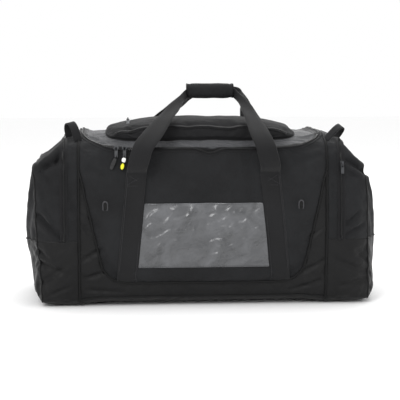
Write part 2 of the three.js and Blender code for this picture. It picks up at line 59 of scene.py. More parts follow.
GAP = 0.0004
SEAM_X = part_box("front_panel")[1].x + GAP / 2
END_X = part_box("end_cap_right")[1].x
ZIP_X = (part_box("end_zip_right")[0].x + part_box("end_zip_right")[1].x) / 2
CAP_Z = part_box("end_cap_right")[1].z
BASE_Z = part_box("bottom_panel")[1].z
CORNER_X = (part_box("piping_door_right")[0].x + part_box("piping_door_right")[1].x) / 2
HALF_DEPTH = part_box("end_cap_right")[1].y
CROWN_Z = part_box("lid_panel")[1].z
LID_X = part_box("main_zip_lid_tape")[1].x
LID_Y = -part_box("main_zip_lid_tape")[0].y
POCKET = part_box("lid_pocket")
STRAP_TOP_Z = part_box("strap_front_left")[1].z
CURVE_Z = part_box("piping_front_curve")[0].z + 0.0025
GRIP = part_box("grip_pad")
NAME_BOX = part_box("name_panel")

LID_RADIUS = 0.075
CURVE_HALF = 0.250  # half length of the curved seam's lowest run
CURVE_RADIUS = 0.045
CURVE_TOP_Z = 0.355
WEBBING_WIDTH = 0.050
STRAP_LOW_X = 0.197
STRAP_HIGH_X = 0.170

# ---------------------------------------------------------------- small tools


def deselect():
    if bpy.context.object and bpy.context.object.mode != "OBJECT":
        bpy.ops.object.mode_set(mode="OBJECT")
    bpy.ops.object.select_all(action="DESELECT")


def pick(*objects):
    deselect()
    for o in objects:
        o.select_set(True)
    bpy.context.view_layer.objects.active = objects[0]
    return objects[0]


def new_mesh(name, points, faces, smooth=True):
    mesh = bpy.data.meshes.new(name)
    mesh.from_pydata([tuple(p) for p in points], [], faces)
    mesh.update()
    piece = bpy.data.objects.new(name, mesh)
    bpy.context.scene.collection.objects.link(piece)
    if smooth:
        mesh.polygons.foreach_set("use_smooth", [True] * len(mesh.polygons))
    return piece


def modify(piece, kind, **settings):
    """Adds a modifier, applies it, and leaves the piece active."""
    pick(piece)
    modifier = piece.modifiers.new(kind.lower(), kind)
    for key, value in settings.items():
        setattr(modifier, key, value)
    bpy.ops.object.modifier_apply(modifier=modifier.name)
    return piece


def recalculate(piece):
    pick(piece)
    bpy.ops.object.mode_set(mode="EDIT")
    bpy.ops.mesh.select_all(action="SELECT")
    bpy.ops.mesh.remove_doubles(threshold=1e-5)
    bpy.ops.mesh.normals_make_consistent(inside=False)
    bpy.ops.object.mode_set(mode="OBJECT")
    return piece


def join(name, *parts):
    pick(*parts)
    if len(parts) > 1:
        bpy.ops.object.join()
    piece = bpy.context.view_layer.objects.active
    piece.name = piece.data.name = name
    return piece


def finish_place(piece):
    """Puts a piece's place into its mesh, so that its object sits at the origin."""
    pick(piece)
    bpy.ops.object.transform_apply(location=True, rotation=True, scale=True)
    return piece


def coordinates(piece):
    points = np.empty(len(piece.data.vertices) * 3)
    piece.data.vertices.foreach_get("co", points)
    return points.reshape(-1, 3)


def set_coordinates(piece, points):
    piece.data.vertices.foreach_set("co", np.asarray(points, float).ravel())
    piece.data.update()


def smoothstep(value, low=0.0, high=1.0):
    t = min(max((value - low) / (high - low), 0.0), 1.0)
    return t * t * (3 - 2 * t)


def spline(points, spacing):
    """Points about spacing apart on a smooth curve through the given ones."""
    p = [Vector(q) for q in points]
    p = [p[0] * 2 - p[1], *p, p[-1] * 2 - p[-2]]
    fine = []
    for a, b, c, d in zip(p, p[1:], p[2:], p[3:]):
        steps = max(2, math.ceil((c - b).length / spacing))
        for k in range(steps):
            t = k / steps
            fine.append(
                0.5
                * (
                    2 * b
                    + (c - a) * t
                    + (2 * a - 5 * b + 4 * c - d) * t * t
                    + (3 * b - a - 3 * c + d) * t * t * t
                )
            )
    fine.append(p[-2])
    return fine


def evenly(points, spacing):
    """Points exactly evenly spaced along a line of points."""
    p = np.array([tuple(q) for q in points])
    lengths = np.concatenate([[0], np.cumsum(np.linalg.norm(np.diff(p, axis=0), axis=1))])
    count = max(2, round(lengths[-1] / spacing) + 1)
    at = np.linspace(0, lengths[-1], count)
    return [Vector([np.interp(s, lengths, p[:, axis]) for axis in range(3)]) for s in at]


# ---------------------------------------------------------------- materials


def linear(hex_colour):
    """A linear colour from an sRGB hex value."""
    channels = [int(hex_colour[i : i + 2], 16) / 255 for i in (1, 3, 5)]
    return [c / 12.92 if c <= 0.04045 else ((c + 0.055) / 1.055) ** 2.4 for c in channels] + [1.0]


def start_material(name, colour, roughness, metallic=0.0, ior=1.5):
    material = bpy.data.materials.new(name)
    material.use_nodes = True
    tree = material.node_tree
    shader = tree.nodes["Principled BSDF"]
    shader.inputs["Base Color"].default_value = linear(colour)
    shader.inputs["Roughness"].default_value = roughness
    shader.inputs["Metallic"].default_value = metallic
    shader.inputs["IOR"].default_value = ior
    return material, tree, shader


def add_node(tree, kind, settings=(), values=(), **links):
    """Adds a node, sets its properties and sockets, and links its inputs to the given outputs."""
    node = tree.nodes.new(kind)
    for key, value in dict(settings).items():
        setattr(node, key, value)
    for key, value in dict(values).items():
        node.inputs[key].default_value = value
    for key, output in links.items():
        socket = key.replace("_", " ")
        tree.links.new(output, node.inputs[int(socket[1:]) if socket[1:].isdigit() else socket])
    return node


def cloth_material(name, colour, light, thread, roughness, sheen=0.15, check=None, crease=0.25, rib=None):
    """Woven cloth. thread is the spacing of its threads in metres, check that of a ripstop grid."""
    material, tree, shader = start_material(name, colour, roughness)
    shader.inputs["Specular IOR Level"].default_value = 0.2
    shader.inputs["Sheen Weight"].default_value = sheen
    shader.inputs["Sheen Roughness"].default_value = 0.5
    uv = add_node(tree, "ShaderNodeUVMap", {"uv_map": "cloth"}).outputs["UV"]
    place = add_node(tree, "ShaderNodeTexCoord").outputs["Object"]
    warp = add_node(
        tree,
        "ShaderNodeTexWave",
        {"bands_direction": "X"},
        {"Scale": 0.314 / thread, "Distortion": 0.3, "Detail": 0.0},
        Vector=uv,
    )
    weft = add_node(
        tree,
        "ShaderNodeTexWave",
        {"bands_direction": "Y"},
        {"Scale": 0.314 / (rib or thread), "Distortion": 0.3, "Detail": 0.0},
        Vector=uv,
    )
    weave = add_node(
        tree, "ShaderNodeMath", {"operation": "MULTIPLY"}, {}, i0=warp.outputs["Fac"], i1=weft.outputs["Fac"]
    ).outputs[0]
    # Cloudy mottling of the colour: random tone in most cloths, and on the ripstop painted light from wrinkles
    # catching the light.
    cloudy = add_node(
        tree, "ShaderNodeTexNoise", {}, {"Scale": 9.0, "Detail": 5.0, "Roughness": 0.6}, Vector=place
    ).outputs["Fac"]
    height = weave
    if check:
        lines = []
        for direction in ("X", "Y"):
            wave = add_node(
                tree,
                "ShaderNodeTexWave",
                {"bands_direction": direction, "wave_profile": "SIN"},
                {"Scale": 0.314 / check, "Distortion": 0.0},
                Vector=uv,
            )
            lines.append(
                add_node(
                    tree,
                    "ShaderNodeMapRange",
                    {},
                    {"From Min": 0.93, "From Max": 1.0},
                    Value=wave.outputs["Fac"],
                ).outputs[0]
            )
        grid = add_node(
            tree, "ShaderNodeMath", {"operation": "MAXIMUM"}, {}, i0=lines[0], i1=lines[1]
        ).outputs[0]
        height = add_node(
            tree, "ShaderNodeMath", {"operation": "ADD"}, {}, i0=weave, i1=grid
        ).outputs[0]
    shade = add_node(
        tree,
        "ShaderNodeMath",
        {"operation": "MULTIPLY_ADD"},
        {1: 0.35, 2: 0.0},
        i0=height,
    ).outputs[0]
    blend = add_node(
        tree, "ShaderNodeMath", {"operation": "MULTIPLY_ADD"}, {1: 0.9}, i0=cloudy, i2=shade
    ).outputs[0]
    ramp = add_node(tree, "ShaderNodeValToRGB", {}, {}, Fac=blend)
    ramp.color_ramp.elements[0].position = 0.25
    ramp.color_ramp.elements[0].color = linear(colour)
    ramp.color_ramp.elements[1].position = 1.0
    ramp.color_ramp.elements[1].color = linear(light)
    tree.links.new(ramp.outputs["Color"], shader.inputs["Base Color"])
    soft = add_node(
        tree, "ShaderNodeTexNoise", {}, {"Scale": 26.0, "Detail": 3.0, "Distortion": 0.8}, Vector=place
    ).outputs["Fac"]
    folds = add_node(
        tree, "ShaderNodeBump", {}, {"Strength": crease, "Distance": 0.008}, Height=soft
    ).outputs["Normal"]
    bump = add_node(
        tree, "ShaderNodeBump", {}, {"Strength": 0.35, "Distance": 0.0004}, Height=height, Normal=folds
    ).outputs["Normal"]
    tree.links.new(bump, shader.inputs["Normal"])
    return material


def plain_material(name, colour, roughness, metallic=0.0, grain=600.0, bump_height=0.0001, wear=None, ior=1.5):
    """A moulded, cast or extruded surface with a fine grain and, if asked, worn lighter patches."""
    material, tree, shader = start_material(name, colour, roughness, metallic, ior)
    place = add_node(tree, "ShaderNodeTexCoord").outputs["Object"]
    fine = add_node(
        tree, "ShaderNodeTexNoise", {}, {"Scale": grain, "Detail": 4.0}, Vector=place
    ).outputs["Fac"]
    if wear:
        patches = add_node(
            tree, "ShaderNodeTexNoise", {}, {"Scale": grain / 8, "Detail": 3.0}, Vector=place
        ).outputs["Fac"]
        ramp = add_node(tree, "ShaderNodeValToRGB", {}, {}, Fac=patches)
        ramp.color_ramp.elements[0].position = 0.4
        ramp.color_ramp.elements[0].color = linear(colour)
        ramp.color_ramp.elements[1].position = 0.75
        ramp.color_ramp.elements[1].color = linear(wear)
        tree.links.new(ramp.outputs["Color"], shader.inputs["Base Color"])
    bump = add_node(
        tree, "ShaderNodeBump", {}, {"Strength": 0.4, "Distance": bump_height}, Height=fine
    ).outputs["Normal"]
    tree.links.new(bump, shader.inputs["Normal"])
    return material


def tarpaulin_material():
    """Vinyl-coated cloth, creased where it was folded: glossy, with dull rubbed patches."""
    material, tree, shader = start_material("vinyl_coated_tarpaulin", "#48494b", 0.3)
    shader.inputs["Coat Weight"].default_value = 0.5
    shader.inputs["Coat Roughness"].default_value = 0.16
    place = add_node(tree, "ShaderNodeTexCoord").outputs["Object"]
    rub = add_node(
        tree, "ShaderNodeTexNoise", {}, {"Scale": 14.0, "Detail": 6.0, "Distortion": 1.2}, Vector=place
    ).outputs["Fac"]
    rough = add_node(
        tree, "ShaderNodeMapRange", {}, {"From Min": 0.3, "From Max": 0.7, "To Min": 0.2, "To Max": 0.5}, Value=rub
    ).outputs[0]
    tree.links.new(rough, shader.inputs["Roughness"])
    ramp = add_node(tree, "ShaderNodeValToRGB", {}, {}, Fac=rub)
    ramp.color_ramp.elements[0].position = 0.3
    ramp.color_ramp.elements[0].color = linear("#37383a")
    ramp.color_ramp.elements[1].position = 0.72
    ramp.color_ramp.elements[1].color = linear("#56575a")
    tree.links.new(ramp.outputs["Color"], shader.inputs["Base Color"])
    crumple = add_node(
        tree, "ShaderNodeTexNoise", {}, {"Scale": 38.0, "Detail": 4.0, "Distortion": 2.0}, Vector=place
    ).outputs["Fac"]
    bump = add_node(
        tree, "ShaderNodeBump", {}, {"Strength": 0.5, "Distance": 0.004}, Height=crumple
    ).outputs["Normal"]
    tree.links.new(bump, shader.inputs["Normal"])
    return material


# 600-denier polyester: threads of about 0.5 mm, drawn at 1.2 mm so that the weave shows.
POLYESTER = cloth_material("polyester_600d_plain_weave", "#0e0e0f", "#222325", 0.0012, 0.78, sheen=0.06, crease=0.6)
# The same yarn in a closer weave, which takes the light less, for the padded pocket.
POCKET_CLOTH = cloth_material("polyester_420d_close_weave", "#0b0b0c", "#1c1c1e", 0.0010, 0.8, sheen=0.05, crease=0.4)
# Ripstop polyester: a small check of thicker threads over a fine weave, a little glossier; its lighter, cloudy mottled
# tone is painted light from wrinkles catching the light on the lid.
RIPSTOP = cloth_material("polyester_ripstop", "#18191b", "#3c3d41", 0.0012, 0.55, check=0.007, crease=0.9)
# Coated basket weave, heavier and darker, with a satin face.
COATED = cloth_material("coated_basket_weave", "#070708", "#131313", 0.0022, 0.5, sheen=0.04, crease=0.55)
# Nylon webbing: ribs across its width, 1.6 mm apart.
WEBBING = cloth_material("nylon_webbing", "#09090a", "#18181a", 0.0030, 0.7, sheen=0.12, rib=0.0016, crease=0.05)
BINDING = cloth_material("polyester_binding_cord", "#030303", "#0b0b0c", 0.0010, 0.55, sheen=0.02, crease=0.0)
ZIP_TAPE = cloth_material("knitted_zip_tape", "#08080a", "#131315", 0.0010, 0.75, crease=0.05)
LINING = cloth_material("polyester_lining", "#2a2b2d", "#46474a", 0.0012, 0.8, crease=0.4)
TARPAULIN = tarpaulin_material()
# Zip coil: extruded polyester monofilament, satin.
COIL = plain_material("polyester_zip_coil", "#0e0e0f", 0.38, grain=900)
# Sliders: die-cast zinc, tumbled and plated gunmetal, so a dull dark shine with soft edges.
ZINC = plain_material("tumbled_zinc_die_cast", "#525355", 0.36, metallic=1.0, wear="#3c3d3f")
RUBBER = plain_material("moulded_soft_pvc_black", "#121213", 0.5)
RIM_PVC = plain_material("moulded_soft_pvc_charcoal", "#2e2e31", 0.42)
WHITE_PVC = plain_material("moulded_soft_pvc_white", "#f1f1ee", 0.42)
YELLOW_PVC = plain_material("moulded_soft_pvc_yellow", "#e6e31c", 0.42)
THREAD = plain_material("bonded_nylon_thread", "#2c2c2f", 0.6)
# A flat black disc inside each vent rim: painted shade where the vent's open slot would be dark.
PAINTED_HOLE_SHADE = plain_material("black_mesh_backing", "#040404", 0.9)


def dress(piece, material, slot, body, *stands_for):
    """Gives a piece its material, the body it rides on and the CAD nodes it stands for. Its slot is not used."""
    piece.data.materials.clear()
    piece.data.materials.append(material)
    if body:
        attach(piece, body)
    if stands_for:
        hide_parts(*stands_for)
    return piece


def cloth_uv(piece):
    """A flat layout in metres, each face along the axis that it faces most, for the weave to follow."""
    mesh = piece.data
    layer = mesh.uv_layers.get("cloth") or mesh.uv_layers.new(name="cloth")
    points = coordinates(piece)
    loops = np.empty(len(mesh.loops), int)
    mesh.loops.foreach_get("vertex_index", loops)
    normals = np.empty(len(mesh.polygons) * 3)
    mesh.polygons.foreach_get("normal", normals)
    normals = np.abs(normals.reshape(-1, 3))
    starts = np.empty(len(mesh.polygons), int)
    totals = np.empty(len(mesh.polygons), int)
    mesh.polygons.foreach_get("loop_start", starts)
    mesh.polygons.foreach_get("loop_total", totals)
    facing = np.repeat(normals.argmax(1), totals)[np.argsort(np.concatenate([s + np.arange(t) for s, t in zip(starts, totals)]))]
    across = np.array([[1, 2], [0, 2], [0, 1]])[facing]
    at = points[loops]
    uv = np.take_along_axis(at, across, axis=1)
    layer.data.foreach_set("uv", uv.ravel())


# ---------------------------------------------------------------- camera, floor and light


def camera():
    """Level with the upper part of the bag and a little to its left, far enough away for a flat view."""
    bpy.ops.object.camera_add()
    eye = bpy.context.object
    azimuth, elevation, distance = math.radians(-4.0), math.radians(7.0), 3.2
    aim = Vector((0.004, 0.0, 0.250))
    back = Vector(
        (
            math.sin(azimuth) * math.cos(elevation),
            -math.cos(azimuth) * math.cos(elevation),
            math.sin(elevation),
        )
    )
    eye.location = aim + back * distance
    eye.rotation_euler = (-back).to_track_quat("-Z", "Y").to_euler()
    eye.data.sensor_width = 36.0
    eye.data.lens = 106.5
    eye.data.clip_end = 50.0
    bpy.context.scene.camera = eye


def studio():
    bpy.ops.mesh.primitive_plane_add(size=1)
    floor = bpy.context.object
    floor.name = "studio_floor"
    floor.scale = (14, 14, 1)
    floor.location = (0, 2.0, -0.001)
    paper, _, _ = start_material("white_paper_floor", "#fbfbfb", 0.9)
    floor.data.materials.append(paper)
    world = bpy.data.worlds.new("studio_sky")
    bpy.context.scene.world = world
    world.use_nodes = True
    world.node_tree.nodes["Background"].inputs["Color"].default_value = (1, 1, 1, 1)
    world.node_tree.nodes["Background"].inputs["Strength"].default_value = 1.0
    lamps = {
        "key": ((-1.4, -2.6, 2.4), 1.2, 42),
        "fill": ((2.6, -2.4, 1.4), 2.0, 10),
        "top": ((0.2, 0.4, 3.0), 2.0, 30),
        "rim": ((0.6, 3.0, 2.2), 2.0, 25),
    }
    for name, (place, size, power) in lamps.items():
        bpy.ops.object.light_add(type="AREA", location=place)
        lamp = bpy.context.object
        lamp.name = f"{name}_softbox"
        lamp.data.size = size
        lamp.data.energy = power
        aim = Vector((0, 0, 0.25)) - Vector(place)
        lamp.rotation_euler = aim.to_track_quat("-Z", "Y").to_euler()
    bpy.context.scene.view_settings.view_transform = "Standard"


# ---------------------------------------------------------------- the sewn skin

CELL = 0.0078
EDGE_RADIUS = 0.075
SHELL_NODES = [
    f"{name}_{side}" for name in ("gusset", "end_cap", "end_door", "end_zip") for side in ("left", "right")
] + ["front_panel", "back_panel", "front_band", "back_band", "bottom_panel", "lid_panel"]
SHELL_NODES += ["main_zip_bag_tape", "main_zip_lid_tape"]


def tree_of(*objects):
    """A search tree over the given meshes together."""
    points, faces = [], []
    for o in objects:
        base = len(points)
        points += [v.co.copy() for v in o.data.vertices]
        faces += [[base + i for i in p.vertices] for p in o.data.polygons]
    return BVHTree.FromPolygons(points, faces)


def divided_box():
    """A box of square cells around the origin, with half sizes half, cut by subdividing along each axis."""
    half = Vector((END_X, HALF_DEPTH, CROWN_Z / 2))
    bpy.ops.mesh.primitive_cube_add(size=2, scale=half)
    box = bpy.context.object
    finish_place(box)
    for axis in range(3):
        cuts = round(2 * half[axis] / CELL) - 1
        mesh = box.data
        pick(box)
        bpy.ops.object.mode_set(mode="EDIT")
        bpy.ops.mesh.select_mode(type="EDGE")
        bpy.ops.mesh.select_all(action="DESELECT")
        bpy.ops.object.mode_set(mode="OBJECT")
        for edge in mesh.edges:
            a, b = (mesh.vertices[i].co for i in edge.vertices)
            edge.select = abs((a - b)[axis]) > 1e-4
        bpy.ops.object.mode_set(mode="EDIT")
        bpy.ops.mesh.subdivide(number_cuts=cuts)
        bpy.ops.object.mode_set(mode="OBJECT")
    return box, half


def wrap_on_shell(box, half):
    """Moves the divided box's points onto the outside of the frame's shell, rounding its edges."""
    shell = tree_of(*(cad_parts[n] for n in SHELL_NODES))
    points = coordinates(box)
    middle = np.array([0, 0, half.z])
    inner = np.array(half) - EDGE_RADIUS
    core = np.clip(points, -inner, inner)
    way = points - core
    way /= np.linalg.norm(way, axis=1)[:, None]
    spread = 0.0012
    placed = []
    for q, n in zip(core + middle, way):
        origin, direction = Vector(q), Vector(n)
        side = direction.orthogonal().normalized() * spread
        other = direction.cross(side)
        reach = 0.0
        for shift in (side, -side, other, -other):
            hit = shell.ray_cast(origin + shift + direction * 0.6, -direction)[0]
            if hit is not None:
                reach = max(reach, (hit - origin).dot(direction))
        placed.append(origin + direction * reach)
    set_coordinates(box, np.array([tuple(p) for p in placed]))


def lid_distance(x, y):
    """How far a point is inside the lid's outline (negative outside), seen from above."""
    if y > LID_Y - LID_RADIUS:
        return min(LID_X - abs(x), LID_Y - y)
    dx = abs(x) - (LID_X - LID_RADIUS)
    dy = -y - (LID_Y - LID_RADIUS)
    if dx > 0 and dy > 0:
        return LID_RADIUS - math.hypot(dx, dy)
    return min(LID_X - abs(x), LID_Y + y)


CURVE_SLOPE = (SEAM_X - CURVE_HALF) / (CURVE_TOP_Z - CURVE_Z)


def curve_distance(x, z):
    """How far a point is inside the curved seam (negative outside), seen from the front."""
    lean = math.hypot(1, CURVE_SLOPE)
    side = (CURVE_HALF + CURVE_SLOPE * (z - CURVE_Z) - abs(x)) / lean
    low = z - CURVE_Z
    if side < CURVE_RADIUS and low < CURVE_RADIUS:
        bend = math.pi / 2 + math.atan(CURVE_SLOPE)  # the seam turns by less than a right angle
        u, v = CURVE_RADIUS - side, CURVE_RADIUS - low
        cosine = -math.cos(bend)
        return CURVE_RADIUS - math.sqrt(max(u * u + v * v + 2 * u * v * cosine * 0.5, 0))
    return min(side, low)


def region_of(c):
    """The panel that a point of the skin belongs to, and its part of that panel between pipings."""
    side = "left" if c[0] < 0 else "right"
    face = "front" if c[1] < 0 else "back"
    ax = abs(c[0])
    if ax > SEAM_X:
        if c[2] < CAP_Z:
            return f"end_cap_{side}", "end" if ax > CORNER_X else "flank"
        if ax < ZIP_X:
            return f"gusset_{side}", "ring"
        return f"end_door_{side}", "end" if ax > CORNER_X else "flank"
    if c[2] < BASE_Z:
        return "bottom_panel", ""
    if c[2] > 0.36 and lid_distance(c[0], c[1]) > 0:
        return "lid_panel", ""
    if curve_distance(c[0], c[2]) > 0:
        return f"{face}_panel", ""
    return f"{face}_band", ""


def slide_to_zero(measure, x, other, steps=4):
    """Moves a point (x, other) along the gradient of a distance until the distance is zero."""
    small = 1e-4
    for _ in range(steps):
        d = measure(x, other)
        gx = (measure(x + small, other) - measure(x - small, other)) / (2 * small)
        go = (measure(x, other + small) - measure(x, other - small)) / (2 * small)
        size = gx * gx + go * go
        if size < 1e-9:
            break
        x, other = x - d * gx / size, other - d * go / size
    return x, other


def seam_kind(a, b):
    """Which seam lies between two regions."""
    (pa, sa), (pb, sb) = a, b
    ends = [p.startswith(("gusset", "end_")) for p in (pa, pb)]
    if ends[0] != ends[1]:
        return "main"
    if all(ends):
        if pa == pb:
            return "corner"
        if "cap" in pa or "cap" in pb:
            return "cap"
        return "zip"
    if "bottom_panel" in (pa, pb):
        return "base"
    if "lid_panel" in (pa, pb):
        return "lid"
    if "_band" in pa and "_band" in pb or "_panel" in pa and "_panel" in pb:
        return "none"
    return "curve"


def snap_seams(skin):
    """Moves the points between panels exactly onto the seams, and evens out the cells beside them."""
    mesh = skin.data
    points = coordinates(skin)
    regions = [region_of(sum((mesh.vertices[i].co for i in p.vertices), Vector()) / len(p.vertices)) for p in mesh.polygons]
    around = {}
    for polygon, region in zip(mesh.polygons, regions):
        for i in polygon.vertices:
            around.setdefault(i, set()).add(region)
    seams = {}
    for i, found in around.items():
        if len(found) < 2:
            continue
        kinds = {seam_kind(a, b) for a in found for b in found if a < b} - {"none"}
        if not kinds:
            continue
        seams[i] = kinds
        x, y, z = points[i]
        sign = 1 if x > 0 else -1
        if "lid" in kinds and "main" not in kinds:
            x, y = slide_to_zero(lid_distance, x, y)
        if "curve" in kinds and "main" not in kinds:
            x, z = slide_to_zero(curve_distance, x, z)
        if "main" in kinds:
            x = sign * SEAM_X
        if "zip" in kinds:
            x = sign * ZIP_X
        if "corner" in kinds:
            x = sign * CORNER_X
        if "cap" in kinds:
            z = CAP_Z
        if "base" in kinds:
            z = BASE_Z
        points[i] = (x, y, z)
    relax(skin, points, seams, 6)
    return regions, seams


def relax(skin, points, fixed, rounds, amount=0.5):
    edges = np.empty(len(skin.data.edges) * 2, int)
    skin.data.edges.foreach_get("vertices", edges)
    edges = edges.reshape(-1, 2)
    degree = np.bincount(edges.ravel(), minlength=len(points))[:, None]
    free = np.ones(len(points), bool)
    free[list(fixed)] = False
    for _ in range(rounds):
        total = np.zeros_like(points)
        np.add.at(total, edges[:, 0], points[edges[:, 1]])
        np.add.at(total, edges[:, 1], points[edges[:, 0]])
        points[free] += amount * (total / degree - points)[free]
    set_coordinates(skin, points)


def seam_lines(skin, regions):
    """Chains of points along each seam, as lists of vertex numbers, keyed by kind and side."""
    mesh = skin.data
    edge_faces = {}
    for polygon, region in zip(mesh.polygons, regions):
        for key in polygon.edge_keys:
            edge_faces.setdefault(key, []).append(region)
    links = {}
    for (a, b), found in edge_faces.items():
        if len(found) != 2 or found[0] == found[1]:
            continue
        kind = seam_kind(*found)
        if kind == "none":
            continue
        x = (mesh.vertices[a].co.x + mesh.vertices[b].co.x) / 2
        y = (mesh.vertices[a].co.y + mesh.vertices[b].co.y) / 2
        if kind in ("curve",):
            name = (kind, "front" if y < 0 else "back")
        elif kind in ("lid", "base"):
            name = (kind, "")
        elif kind == "corner":
            low = "end_cap" in found[0][0]
            name = ("boot_corner" if low else "door_corner", "left" if x < 0 else "right")
        else:
            name = (kind, "left" if x < 0 else "right")
        links.setdefault(name, {}).setdefault(a, []).append(b)
        links[name].setdefault(b, []).append(a)
    lines = {}
    for name, near in links.items():
        left = set(near)
        while left:
            ends = [i for i in left if len(near[i]) == 1]
            start = min(ends) if ends else min(left)
            line = [start]
            left.discard(start)
            while True:
                nexts = [i for i in near[line[-1]] if i in left]
                if not nexts:
                    break
                line.append(nexts[0])
                left.discard(nexts[0])
            closed = line[0] in near[line[-1]] and len(line) > 2
            lines.setdefault(name, []).append((line, closed))
    return lines


def fold(points, normals, start, end, depth, width):
    """Presses a crease into the cloth along a line, with a ridge on each side of it."""
    a, b = np.array(start), np.array(end)
    along = b - a
    t = np.clip(((points - a) @ along) / (along @ along), 0, 1)
    # Measured as seen from the front, because the cloth leans back from the line.
    away = np.linalg.norm((points - (a + t[:, None] * along))[:, [0, 2]], axis=1)
    u = away / width
    profile = (2.2 * u * u - 1.0) * np.exp(-1.6 * u * u)
    fade = np.sin(np.pi * np.clip(0.12 + 0.76 * t, 0, 1)) ** 0.6
    return normals * (depth * profile * fade)[:, None]


def swell(piece, held, cap, pressure, shrink, frames, gravity=0.0):
    """Fills a sewn piece: it is held at its seams and pushed out from inside, no further than cap."""
    pins = piece.vertex_groups.new(name="pins")
    pins.add(list(held), 1.0, "REPLACE")
    before = coordinates(piece)
    pick(piece)
    cloth = piece.modifiers.new("cloth", "CLOTH")
    settings = cloth.settings
    settings.quality = 5
    settings.mass = 0.25
    settings.tension_stiffness = 18
    settings.compression_stiffness = 18
    settings.shear_stiffness = 6
    settings.bending_stiffness = 0.6
    settings.use_pressure = True
    settings.uniform_pressure_force = pressure
    settings.shrink_min = shrink
    settings.vertex_group_mass = "pins"
    settings.effector_weights.gravity = gravity
    scene = bpy.context.scene
    scene.frame_start, scene.frame_end = 1, frames
    cloth.point_cache.frame_end = frames
    for step in range(1, frames + 1):
        scene.frame_set(step)
    bpy.ops.object.modifier_apply(modifier=cloth.name)
    moved = coordinates(piece) - before
    size = np.linalg.norm(moved, axis=1)[:, None]
    moved *= np.where(size > cap, cap / np.maximum(size, 1e-9), 1.0)
    set_coordinates(piece, before + moved)
    piece.vertex_groups.clear()
    scene.frame_set(1)


def normals_of(piece):
    normals = np.empty(len(piece.data.vertices) * 3)
    piece.data.vertices.foreach_get("normal", normals)
    return normals.reshape(-1, 3)


def press_folds(skin):
    """The creases of the end compartments, their boots and the lower corners."""
    points, normals = coordinates(skin), normals_of(skin)
    y = -HALF_DEPTH
    folds = [
        ((-0.418, y, 0.236), (-0.358, y, 0.176), 0.011, 0.013),
        ((-0.398, y, 0.250), (-0.366, y, 0.196), 0.004, 0.010),
        ((-0.358, y, 0.384), (-0.412, y, 0.352), 0.015, 0.016),
        ((-0.366, y, 0.398), (-0.372, y, 0.356), 0.008, 0.012),
        ((-0.412, y, 0.346), (-0.384, y, 0.322), 0.006, 0.012),
        ((-0.405, y, 0.305), (-0.400, y, 0.250), 0.003, 0.014),
        ((-0.435, y, 0.120), (-0.345, y, 0.085), 0.006, 0.016),
        ((-0.420, y, 0.058), (-0.350, y, 0.108), 0.005, 0.014),
        ((-0.400, y, 0.030), (-0.345, y, 0.052), 0.005, 0.011),
        ((-0.428, y, 0.150), (-0.396, y, 0.128), 0.004, 0.010),
        ((0.368, y, 0.210), (0.400, y, 0.240), 0.008, 0.011),
        ((0.362, y, 0.180), (0.412, y, 0.206), 0.007, 0.010),
        ((0.340, y, 0.116), (0.430, y, 0.080), 0.006, 0.016),
        ((0.345, y, 0.045), (0.425, y, 0.064), 0.005, 0.014),
        ((0.395, y, 0.140), (0.425, y, 0.112), 0.004, 0.010),
        ((0.366, y, 0.372), (0.424, y, 0.338), 0.012, 0.014),
        ((0.372, y, 0.344), (0.398, y, 0.330), 0.006, 0.010),
        ((0.330, y, 0.330), (0.336, y, 0.262), 0.003, 0.010),
        ((-0.338, y, 0.300), (-0.328, y, 0.235), 0.003, 0.010),
        ((-0.308, y, 0.215), (-0.288, y, 0.190), 0.004, 0.010),
        ((-0.308, y, 0.122), (-0.258, y, 0.152), 0.006, 0.011),
        ((-0.303, y, 0.075), (-0.252, y, 0.090), 0.006, 0.010),
        ((-0.300, y, 0.045), (-0.205, y, 0.038), 0.004, 0.010),
        ((0.255, y, 0.085), (0.308, y, 0.114), 0.006, 0.011),
        ((0.225, y, 0.038), (0.302, y, 0.062), 0.005, 0.010),
        ((0.262, y, 0.170), (0.300, y, 0.200), 0.003, 0.012),
        ((-0.300, y, 0.362), (-0.240, y, 0.332), 0.003, 0.016),
        ((0.235, y, 0.366), (0.300, y, 0.384), 0.004, 0.014),
        ((-0.120, y, 0.346), (-0.020, y, 0.322), 0.002, 0.020),
        ((0.020, y, 0.330), (0.120, y, 0.352), 0.002, 0.020),
    ]
    total = np.zeros_like(points)
    front = points[:, 1] < -0.10
    for start, end, depth, width in folds:
        total[front] += fold(points[front], normals[front], start, end, depth, width)
    # The same cloth on the back, turned end for end, so that its creases fall elsewhere.
    back = points[:, 1] > 0.10
    turned = points[back] * [-1, -1, 1]
    for start, end, depth, width in folds[::2]:
        total[back] += fold(turned, normals[back], start, end, depth * 0.8, width)
    wave = np.array(
        [noise.fractal(Vector(p) * 16.0, 1.0, 2.0, 3, noise_basis="PERLIN_ORIGINAL") for p in points]
    )
    loose = np.clip((points[:, 2] - 0.01) / 0.05, 0, 1)
    total += normals * (0.0022 * wave * loose)[:, None]
    set_coordinates(skin, points + total)


def settle(skin):
    """The bag stands on its two ends: they slump a little, and its middle is held off the floor between them."""
    points = coordinates(skin)
    for p in points:
        x, y, z = p
        p[2] += 0.007 * (1 - smoothstep(z, 0.0, 0.09)) * (1 - smoothstep(abs(x), 0.25, 0.33))
        low = 1 - smoothstep(z, 0.02, 0.24)
        high = smoothstep(z, 0.26, 0.36) * (1 - smoothstep(z, 0.40, 0.44))
        if x < 0:
            end = smoothstep(-x, 0.33, 0.45)
            p[0] += 0.016 * low * end - 0.002 * high * end
            p[2] += 0.003 * high * end
        else:
            end = smoothstep(x, 0.33, 0.45)
            p[0] += 0.004 * low * end - 0.014 * high * end
    points[:, 2] = np.maximum(points[:, 2], 0.0004)
    set_coordinates(skin, points)


